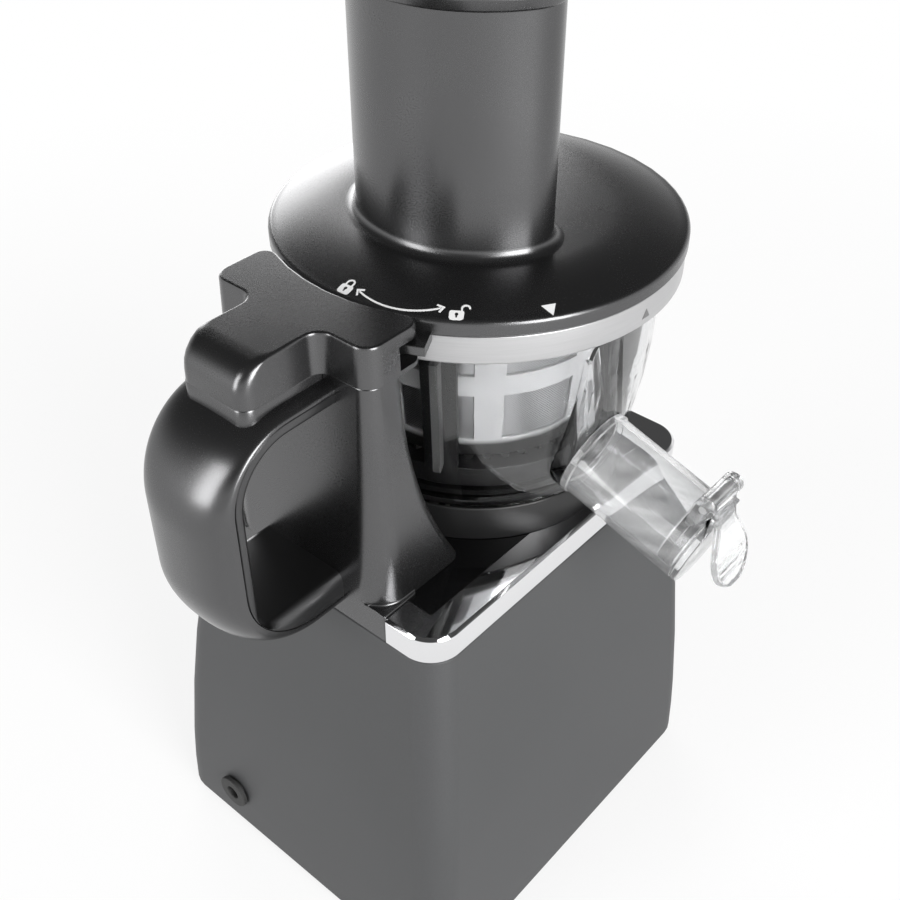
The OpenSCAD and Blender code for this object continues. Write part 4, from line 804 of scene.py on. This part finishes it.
def make_grip():
    """Grip: the shell bulges outwards as a superellipse, and the liner inwards with round corners.

    A shallow groove runs between them along the parting line.
    """
    power, first = 2 / 2.23, math.radians(1.5)
    a = np.linspace(first, math.pi - first, 41)
    bulge = np.stack([np.sign(np.cos(a)) * np.abs(np.cos(a)) ** power, np.sin(a) ** power], -1)
    shell_edge = np.array([(0.972, 0.004), (0.992, 0.04)])
    shell = chain(shell_edge, bulge[2:-2], (shell_edge * [-1, 1])[::-1])
    shape = Shape().grid(grip_rows("outer", shell))

    pad_low, pad_top, pad_size, pad_off, pad_top_off = 282.2, 288.8, 20.0, 0.5, 0.3
    pad_hw, pad_front, pad_middle, pad_back, pad_r = 16.1, 100.5, 115.0, 134.5, 5.0
    pad = chain(arc(pad_hw - pad_r, pad_back - pad_r, pad_r, 0, 90, 8),
                arc(-pad_hw + pad_r, pad_back - pad_r, pad_r, 90, 180, 8),
                (-pad_hw, pad_front), (pad_hw, pad_front))
    levels = ((pad_off, pad_low), (0.0, pad_low + pad_off), (0.0, pad_top - pad_off), (pad_top_off, pad_top))
    shape.grid(drawn_in(pad, np.array([0.0, pad_middle]), levels, pad_size))
    shape.make("grip_shell_shown", "dark_satin", "base", "grip_shell")

    side, deep, flank = 0.99, 0.16, 0.55
    q = np.radians(np.linspace(0, 90, 9))
    corner = np.stack([side * (1 - deep * (1 - np.cos(q))), flank + (1 - flank) * np.sin(q)], -1)
    half = chain((0.965, 0.0), (side, 0.09), (side, 0.3), corner)
    liner = chain(half, (half * [-1, 1])[::-1])
    Shape().grid(grip_rows("inner", liner)).make("grip_liner_shown", "liner_satin", "base", "grip_liner")


def make_auger():
    """Screw: rings that turn as they rise. A flight is a narrow ridge on the root, with rounded flanks.

    The root narrows evenly with height, and the turn eases towards the top by a power of the way left.
    """
    low, top, flights, turns, ease = 227.3, 288.0, 2, 1.35, 1.5
    root_low, root_top, tip_low, tip_top, tip_share, tip_height = 30.0, 15.0, 46.6, 50.0, 0.9, 7.0
    ridge_places = (0, 0.03, 0.055, 0.09, 0.125, 0.15, 0.2, 0.3, 1)
    ridge_shares = (0, 0.6, 0.94, 1, 0.94, 0.6, 0.12, 0, 0)
    s = np.linspace(0, 1, 150)[:, None]
    u = np.linspace(0, 1, 240, endpoint=False)[None]
    ridge = np.interp((u * flights) % 1.0, ridge_places, ridge_shares)
    root, tip = lerp(root_low, root_top, s), lerp(tip_low, tip_top, s)
    taper = lerp(lerp(tip_low, tip_top, tip_share), root + tip_height, (s - tip_share) / (1 - tip_share))
    r = root + (np.where(s > tip_share, taper, tip) - root) * ridge
    a = TAU * u + TAU * turns * (1 - (1 - s) ** ease)
    shape = Shape().grid(polar(r, a, lerp(low, top, s)))

    bore_r, neck_r, neck_low, neck_top, corner_r = 8.12, 25.2, 223.0, 228.0, 0.3
    neck = [(bore_r, neck_low), (neck_r, neck_low), (neck_r, neck_top), (bore_r, neck_top)]
    shape.grid(spun(rounded(neck, corner_r, 2), n=96), wrap_rows=True)
    pin_r, pin_low, pin_top, pin_off, pin_rise = 3.5, 287.0, 297.6, 0.4, 0.6
    pin = chain((AXIS_R, pin_low), (pin_r, pin_low), (pin_r, pin_top - pin_rise), (pin_r - pin_off, pin_top),
                (AXIS_R, pin_top))
    shape.grid(spun(pin, n=40))
    shape.make("auger_shown", "screw_grey", "auger_drive", "auger")


def along_spout(rows):
    """Rows given as way out along the spout, way up and way across, carried to the spout's mouth."""
    return turned(rows, MOUTH, SPOUT_AXIS, SPOUT_UP, SPOUT_SIDE)


def make_spout():
    """Spout: a slightly widening tube turned about the leaning axis, with a bead at its root and two ears.

    An ear is the outline round two circles, a large one at the hinge and a small one at the tube's wall.
    """
    start, middle, bore, growth, edge, step = 3.0, 30.0, 15.5, 0.1, 0.6, 0.1
    bead_low, bead_high, bead_end, bead_r, bead_low_r = 3.2, 5.6, 6.0, 18.5, 17.9
    root = MOUTH - SPOUT_AXIS * SPOUT_L
    quarter = np.linspace(0, 1.5, 5)

    def outer(s):
        return lerp(SPOUT_R - growth, SPOUT_R, s / SPOUT_L)

    wall = chain(
        (start, bead_low_r), (bead_low, bead_r - step), (bead_high, bead_r),
        (bead_end + step, outer(bead_end)), (middle, outer(middle)),
        np.stack([SPOUT_L - edge * (1 - np.sin(quarter)), SPOUT_R - edge * (1 - np.cos(quarter))], -1),
        np.stack([SPOUT_L - edge * (1 - np.cos(quarter)), bore + edge * (1 - np.sin(quarter))], -1),
        (middle, bore - growth / 2), (start, bore - growth))
    rows = spun(wall[:, ::-1], n=144)
    shape = Shape().grid(turned(rows, root, SPOUT_SIDE, SPOUT_UP, SPOUT_AXIS), wrap_rows=True)

    ear_r, ear_hw, foot_r, foot_in, foot_share, gap, edge = 4.0, 1.3, 1.33, 2.0, 0.8, 0.3, 0.25
    foot = np.array([HINGE_FLAT[0] - foot_in, SPOUT_R * foot_share])
    side = foot - HINGE_FLAT
    turn = math.degrees(math.atan2(side[1], side[0]))
    lean = math.degrees(math.acos((ear_r - foot_r) / np.linalg.norm(side)))
    ear = chain(arc(*HINGE_FLAT, ear_r, turn + lean, turn + 360 - lean, 30),
                arc(*foot, foot_r, turn - lean, turn + lean, 8))
    for sign in (-1, 1):
        middle_y = sign * (BARREL_HW + gap + ear_hw)
        levels = [(d, middle_y + y) for d, y in
                  ((edge, -ear_hw), (0.0, edge - ear_hw), (0.0, ear_hw - edge), (edge, ear_hw))]
        shape.grid(along_spout(drawn_in(ear, ear.mean(0), levels, ear_r)))
    shape.make("juice_spout_shown", "clear_spout", "base", "juice_spout")


def make_spout_cap():
    """Cap: a disc with its plug turned about the spout's axis, a hinge barrel, and a ribbed thumb lobe."""
    plug_r, plug_l, disc_in, disc_out, corner_r = 14.1, 9.0, 0.2, 2.8, (0, 0.8, 0.3, 0.5, 0.9, 0)
    plug = rounded([(AXIS_R, -plug_l), (plug_r, -plug_l), (plug_r, disc_in), (SPOUT_R, disc_in),
                    (SPOUT_R, disc_out), (AXIS_R, disc_out)], corner_r, 4)
    shape = Shape().grid(turned(spun(plug, n=120), MOUTH, SPOUT_SIDE, SPOUT_UP, SPOUT_AXIS))
    barrel_r, barrel_size, edge = 3.9, 4.0, 0.25
    web_in, web_out, web_low, web_in_drop, web_out_drop = 0.3, 2.7, 8.0, 3.0, 3.2
    web = chain(arc(*HINGE_FLAT, barrel_r, -60, 200, 40), (web_in, HINGE_FLAT[1] - web_in_drop),
                (web_in, web_low), (web_out, web_low), (web_out, HINGE_FLAT[1] - web_out_drop))
    levels = ((edge, -BARREL_HW), (0.0, edge - BARREL_HW), (0.0, BARREL_HW - edge), (edge, BARREL_HW))
    shape.grid(along_spout(drawn_in(web, HINGE_FLAT, levels, barrel_size)))
    shape.grid(lobe_rows())
    shape.make("spout_cap_shown", "clear_spout", "spout_flap", "spout_cap")


def lobe_rows():
    """Thumb lobe: sections along it, each a flat ring whose top carries a border and three ribs.

    The half width follows the root, then the tangents to the round end, then its circle. The border and the
    ribs are bell curves of the distance from the outline and along the lobe.
    """
    root_t, waist_t, tangent_t, end_t, end_r = 1.95, 9.9, 20.94, 25.8, 12.0
    waist_hw, tangent_hw, low, middle, high, relief = 6.1, 10.97, 0.3, 1.8, 2.5, 0.8
    border_d, border_w, rib_d, rib_w, rib_places = 1.0, 0.7, 1.2, 0.55, (25.5, 28.6, 31.7)
    round_end = end_t + end_r * np.sin(np.linspace(0, math.pi / 2 - 0.02, 50))
    t = np.concatenate([np.linspace(0, 25, 60), round_end])[:, None]
    straight = np.interp(t, [0, root_t, waist_t, tangent_t], [BARREL_HW, BARREL_HW, waist_hw, tangent_hw])
    w = np.where(t > tangent_t, np.sqrt(np.maximum(0.02, end_r ** 2 - (t - end_t) ** 2)), straight)
    q = np.linspace(0, TAU, 72, endpoint=False)[None]
    side, up = np.cos(q), np.sin(q)
    y = w * np.sign(side) * np.abs(side) ** 0.6
    inside = np.minimum(w - np.abs(y), np.maximum(0, end_t + end_r - t))
    border = np.exp(-((inside - border_d) / border_w) ** 2)
    ribs = sum(np.exp(-((t - place) / rib_w) ** 2) for place in rib_places)
    top = high + relief * np.clip(border + ribs * np.clip(inside - rib_d, 0, 1), 0, 1)
    n = lerp(middle, np.where(up > 0, top, low), np.abs(up) ** 0.35)
    down, out = np.array([-0.2655, 0.0, -0.9641]), np.array([-0.9641, 0.0, 0.2655])
    return turned(np.stack(np.broadcast_arrays(t, y, n), -1), HINGE, down, SPOUT_SIDE, out)


# Marks printed on the lid and the rim

SUNK, RISE, KEYHOLE_RISE = -0.1, 0.12, 0.16
MARK_PITCH = 0.4


def leaning(points, degrees):
    """Points of a flat shape turned about its middle."""
    a = math.radians(degrees)
    return points @ np.array([(math.cos(a), math.sin(a)), (-math.sin(a), math.cos(a))])


def padlock(side):
    """Outlines of a padlock: its body, and its shackle, which stands out to the side when it is open."""
    hw, low, high, low_r, high_r = 2.5, -2.9, 1.1, 1.3, 0.9
    out_r, in_r, bend_y, lap, stand = 1.65, 1.0, 2.3, 0.1, 2.9
    body = rounded([(-hw, low), (hw, low), (hw, high), (-hw, high)], (low_r, low_r, high_r, high_r), 5)
    foot = high - lap
    end = foot if side == 0 else bend_y - lap
    shackle = chain((out_r, foot), (out_r, bend_y), arc(0, bend_y, out_r, 0, 180, 14), (-out_r, end),
                    (-in_r, end), (-in_r, bend_y), arc(0, bend_y, in_r, 180, 0, 14), (in_r, foot))
    return [body, shackle + (stand * side, 0.0)]


def keyhole():
    """Outline of a keyhole: a round eye with a narrow foot."""
    eye_y, eye_r, foot_hw, foot_y = -0.5, 0.6, 0.25, -1.9
    return chain(arc(0, eye_y, eye_r, -60, 240, 16), (-foot_hw, foot_y), (foot_hw, foot_y))


def printed(name, outlines, angle, radius, tone, rise=RISE):
    """Flat marks laid on the lid round the drive axis: x runs clockwise, y towards the middle."""
    shape = Shape()
    a = math.radians(angle)
    out, along = np.array([math.cos(a), math.sin(a)]), np.array([math.sin(a), -math.cos(a)])
    for line in outlines:
        line = dense(line, MARK_PITCH)
        flat = out * (radius - line[:, 1:]) + along * line[:, :1]
        z = dome_z(np.linalg.norm(flat, axis=1))
        shape.grid(np.stack([raised(flat, z + lift) for lift in (SUNK, rise)]))
    shape.make(name, tone, "lid")


def make_arrow():
    """Arrow's bent line: a thin strip along a parabola of the radius over the angle."""
    middle, lean, bend, middle_r, half = 111.0, 0.128, 0.0224, 77.4, 0.32
    turn = np.linspace(-14.0, 9.0, 70)
    a = np.radians(middle + turn)
    r = middle_r - lean * turn - bend * turn ** 2
    rows = [polar(r + side, a, dome_z(r + side) + lift)
            for side, lift in ((-half, SUNK), (-half, RISE), (half, RISE), (half, SUNK))]
    Shape().grid(np.stack(rows), wrap_rows=True, wrap_cols=False).make("mark_arrow", "print_white", "lid")


def make_rim_mark():
    """Grey triangle on the rim: the outline laid round the rim, once inside it and once just outside.

    Its way round the rim is its width over the rim's radius.
    """
    angle, middle_z, hw, hh = math.radians(178.1), 290.6, 2.1, 1.8
    sunk_r, rim_r, risen_r = 79.25, 79.3, 79.38
    mark = dense(np.array([(-hw, -hh), (hw, -hh), (0.0, hh)]), MARK_PITCH)
    a = angle - mark[:, 0] / rim_r
    rows = [polar(r, a, middle_z + mark[:, 1]) for r in (sunk_r, risen_r)]
    Shape().grid(np.stack(rows)).make("mark_rim", "print_grey", "base")


def make_marks():
    """Closed and open padlock with the arrow between them, and the two triangles of the lid and the rim."""
    closed, opened = (92.9, 75.2), (124.3, 76.0)
    printed("mark_closed", padlock(0), *closed, "print_white")
    printed("mark_open", padlock(-1), *opened, "print_white")
    printed("mark_keyholes_closed", [keyhole()], *closed, "dark_satin", KEYHOLE_RISE)
    printed("mark_keyholes_open", [keyhole()], *opened, "dark_satin", KEYHOLE_RISE)
    printed("mark_lid", [np.array([(-2.6, 2.4), (2.6, 2.4), (0, -2.4)])], 148.1, 76.6, "print_white")
    make_arrow()
    head = np.array([(1.3, 0.0), (-0.9, 1.9), (-1.4, 1.4), (0.2, 0.0), (-1.4, -1.4), (-0.9, -1.9)])
    printed("mark_head_open", [leaning(head * [-1, 1], -22.0)], 120.2, 74.2, "print_white")
    printed("mark_head_closed", [leaning(head, 20.0)], 96.8, 74.7, "print_white")
    make_rim_mark()


# Pieces that keep the shape of their solid: node, finish, share of the edge rounding, body

REFINED = (
    ("base_housing", "housing", 1.0, "base"), ("bottom_plate", "black_plastic", 0.6, "base"),
    ("rubber_feet", "soft_black", 1.2, "base"), ("deck_plate", "black_gloss", 0.5, "base"),
    ("handle_column", "dark_satin", 1.2, "base"), ("handle_cap", "dark_satin", 0.0, "base"),
    ("juice_bowl", "clear", 0.0, "base"), ("pulp_duct", "clear", 0.4, "base"),
    ("strainer_frame", "frosted", 0.5, "base"), ("brush_frame", "black_plastic", 0.6, "brush"),
    ("brush_wipers", "soft_grey", 0.0, "brush"), ("control_knob", "rim_silver", 1.0, "knob"),
    ("cord_gland", "soft_black", 0.8, "base"), ("pusher", "dark_satin", 0.4, "pusher"),
    ("cap_seal", "soft_black", 0.2, "spout_flap"), ("strainer_mesh", "mesh", 0.0, "base"),
)


def make_refined():
    """Copies of the solids that stay as they are, with rounded edges."""
    for node, finish, share, body in REFINED:
        refined(node, finish, share, body)


# Stage: a white room with the lamps at its sides

LAMPS = (
    # name, place, aim, width, height, power in watts
    ("key_box", (-1.5, 0.4, 0.75), (0.0, 0.0, 0.2), 0.8, 1.2, 36.0),
    ("back_box", (1.4, -1.0, 0.6), (0.0, 0.0, 0.2), 1.2, 0.9, 16.0),
    ("left_box", (0.45, 1.6, 0.7), (0.0, 0.05, 0.2), 0.6, 1.2, 16.0),
)


def stand(name, data, place, aim):
    """Adds a lamp or a camera at its place, turned towards its aim."""
    made = bpy.data.objects.new(name, data)
    bpy.context.scene.collection.objects.link(made)
    made.location = place
    made.rotation_mode = "QUATERNION"
    made.rotation_quaternion = Vector(np.subtract(aim, place)).to_track_quat("-Z", "Y")
    return made


def make_lamps():
    """The soft boxes."""
    for name, place, aim, width, height, power in LAMPS:
        data = bpy.data.lights.new(name, "AREA")
        data.shape = "RECTANGLE"
        data.size = width
        data.size_y = height
        data.energy = power
        stand(name, data, place, aim)


def make_camera():
    """The camera of the photograph."""
    data = bpy.data.cameras.new("camera")
    data.sensor_width = SENSOR_WIDTH
    data.lens = CAMERA_LENS
    data.clip_start = 10.0 * MM
    bpy.context.scene.camera = stand("camera", data, CAMERA_AT, CAMERA_AIM)


def seen_share(f):
    """1 on rays from the camera and through clear or bright surfaces, 0 on light that falls on things.

    The second value is 1 on rays by way of bright surfaces alone.
    """
    names = ("Is Camera Ray", "Is Transmission Ray", "Is Glossy Ray")
    camera, through, glossy = [f.node("ShaderNodeLightPath", out=name) for name in names]
    return (camera + through + glossy).clamp(), glossy


def make_world():
    """White where it is seen, dim where it lights, and dark overhead in reflections.

    The darkness overhead grows evenly with the height of the ray's direction.
    """
    world = bpy.data.worlds.new("studio")
    world.use_nodes = True
    bpy.context.scene.world = world
    f = Finish.on(world.node_tree, "ShaderNodeOutputWorld")
    seen, glossy = seen_share(f)
    height = f.split(f.place("Generated"))[2]
    overhead = ((height - 0.05) * 2.6).clamp() * glossy
    white = f.node("ShaderNodeBackground", {}, {"Color": grey(1.0), "Strength": 1.0 - overhead * 0.93})
    dim = f.node("ShaderNodeBackground", {}, {"Color": grey(1.0), "Strength": 0.3})
    f.close(f.blend(seen, dim, white))


def floor_paint():
    """Pale floor that keeps the shadow: mostly white where it is seen, and plainly lit otherwise.

    The white share grows with the squared distance from the drive axis. It is less in what bright surfaces
    mirror on the spout's side.
    """
    f = Finish("floor_white")
    colour = colours().floor
    seen, glossy = seen_share(f)
    x, y, _ = f.split(f.place())
    far = ((x * x + y * y) * 1.2).clamp()
    spout_side = ((-0.08 - x) * 20.0).clamp()
    share = seen * (0.8 + 0.2 * far) * (1.0 - spout_side * glossy * 0.3)
    shade = f.mix(f.noise(30.0), rgba(colour, 0.98), rgba(colour))
    lit = f.node("ShaderNodeBsdfDiffuse", {}, {"Color": shade})
    white = f.node("ShaderNodeEmission", {}, {"Color": grey(1.0), "Strength": 1.0})
    return f.close(f.blend(share, lit, white))


def make_floor():
    """A level square under the juicer."""
    half = 12.0
    corners = [(-half, -half, 0), (half, -half, 0), (half, half, 0), (-half, half, 0)]
    mesh = bpy.data.meshes.new("floor")
    mesh.from_pydata(corners, [], [(0, 1, 2, 3)])
    mesh.materials.append(floor_paint())
    ground = bpy.data.objects.new("floor", mesh)
    bpy.context.scene.collection.objects.link(ground)


def make_stage():
    """World, floor, camera and lamps, with colours shown as they are."""
    bpy.context.scene.view_settings.view_transform = "Standard"
    make_world()
    make_floor()
    make_camera()
    make_lamps()


# Operators

class JUICER_OT_stage(bpy.types.Operator):
    """Adds the camera, the lamps, the world and the floor"""

    bl_idname = "juicer.stage"
    bl_label = "Stage"

    def execute(self, context):
        make_stage()
        return {"FINISHED"}


class JUICER_OT_finishes(bpy.types.Operator):
    """Gives every solid its finish"""

    bl_idname = "juicer.finishes"
    bl_label = "Finishes"

    def execute(self, context):
        dress_nodes()
        return {"FINISHED"}


class JUICER_OT_lid(bpy.types.Operator):
    """Makes the lid, its feed tube and the pusher's cap"""

    bl_idname = "juicer.lid"
    bl_label = "Lid"

    def execute(self, context):
        make_lid()
        make_feed_tube()
        make_pusher()
        return {"FINISHED"}


class JUICER_OT_bands(bpy.types.Operator):
    """Makes the silver rim, the collar and the metal trim"""

    bl_idname = "juicer.bands"
    bl_label = "Rim, collar and trim"

    def execute(self, context):
        make_rim()
        make_collar()
        make_trim()
        return {"FINISHED"}


class JUICER_OT_grip(bpy.types.Operator):
    """Makes the shell and the liner of the loop handle"""

    bl_idname = "juicer.grip"
    bl_label = "Grip"

    def execute(self, context):
        make_grip()
        return {"FINISHED"}


class JUICER_OT_auger(bpy.types.Operator):
    """Makes the screw with its two flights"""

    bl_idname = "juicer.auger"
    bl_label = "Screw"

    def execute(self, context):
        make_auger()
        return {"FINISHED"}


class JUICER_OT_spout(bpy.types.Operator):
    """Makes the juice spout and its ribbed cap"""

    bl_idname = "juicer.spout"
    bl_label = "Spout and cap"

    def execute(self, context):
        make_spout()
        make_spout_cap()
        return {"FINISHED"}


class JUICER_OT_refined(bpy.types.Operator):
    """Copies the other solids and rounds their edges"""

    bl_idname = "juicer.refined"
    bl_label = "Other pieces"

    def execute(self, context):
        make_refined()
        return {"FINISHED"}


class JUICER_OT_marks(bpy.types.Operator):
    """Lays the printed marks on the lid and the rim"""

    bl_idname = "juicer.marks"
    bl_label = "Marks"

    def execute(self, context):
        make_marks()
        return {"FINISHED"}


class JUICER_PT_panel(bpy.types.Panel):
    """Lists the steps of the dresser"""

    bl_label = "Juicer"
    bl_idname = "JUICER_PT_panel"
    bl_space_type = "VIEW_3D"
    bl_region_type = "UI"
    bl_category = "Juicer"

    def draw(self, context):
        for step in STEPS:
            self.layout.operator(step.bl_idname)


STEPS = (
    JUICER_OT_stage, JUICER_OT_finishes, JUICER_OT_lid, JUICER_OT_bands, JUICER_OT_grip, JUICER_OT_auger,
    JUICER_OT_spout, JUICER_OT_refined, JUICER_OT_marks,
)
CLASSES = (JuicerSizes, JuicerColours, *STEPS, JUICER_PT_panel)


def register():
    """Registers the classes and adds the sizes and colours to the scene."""
    for cls in CLASSES:
        bpy.utils.register_class(cls)
    bpy.types.Scene.juicer_sizes = bpy.props.PointerProperty(type=JuicerSizes)
    bpy.types.Scene.juicer_colours = bpy.props.PointerProperty(type=JuicerColours)


def unregister():
    """Takes the sizes, the colours and the classes away again."""
    del bpy.types.Scene.juicer_colours
    del bpy.types.Scene.juicer_sizes
    for cls in reversed(CLASSES):
        bpy.utils.unregister_class(cls)


def main():
    """Runs the steps in order."""
    register()
    for step in STEPS:
        area, name = step.bl_idname.split(".")
        getattr(getattr(bpy.ops, area), name)()


if __name__ == "__main__":
    main()
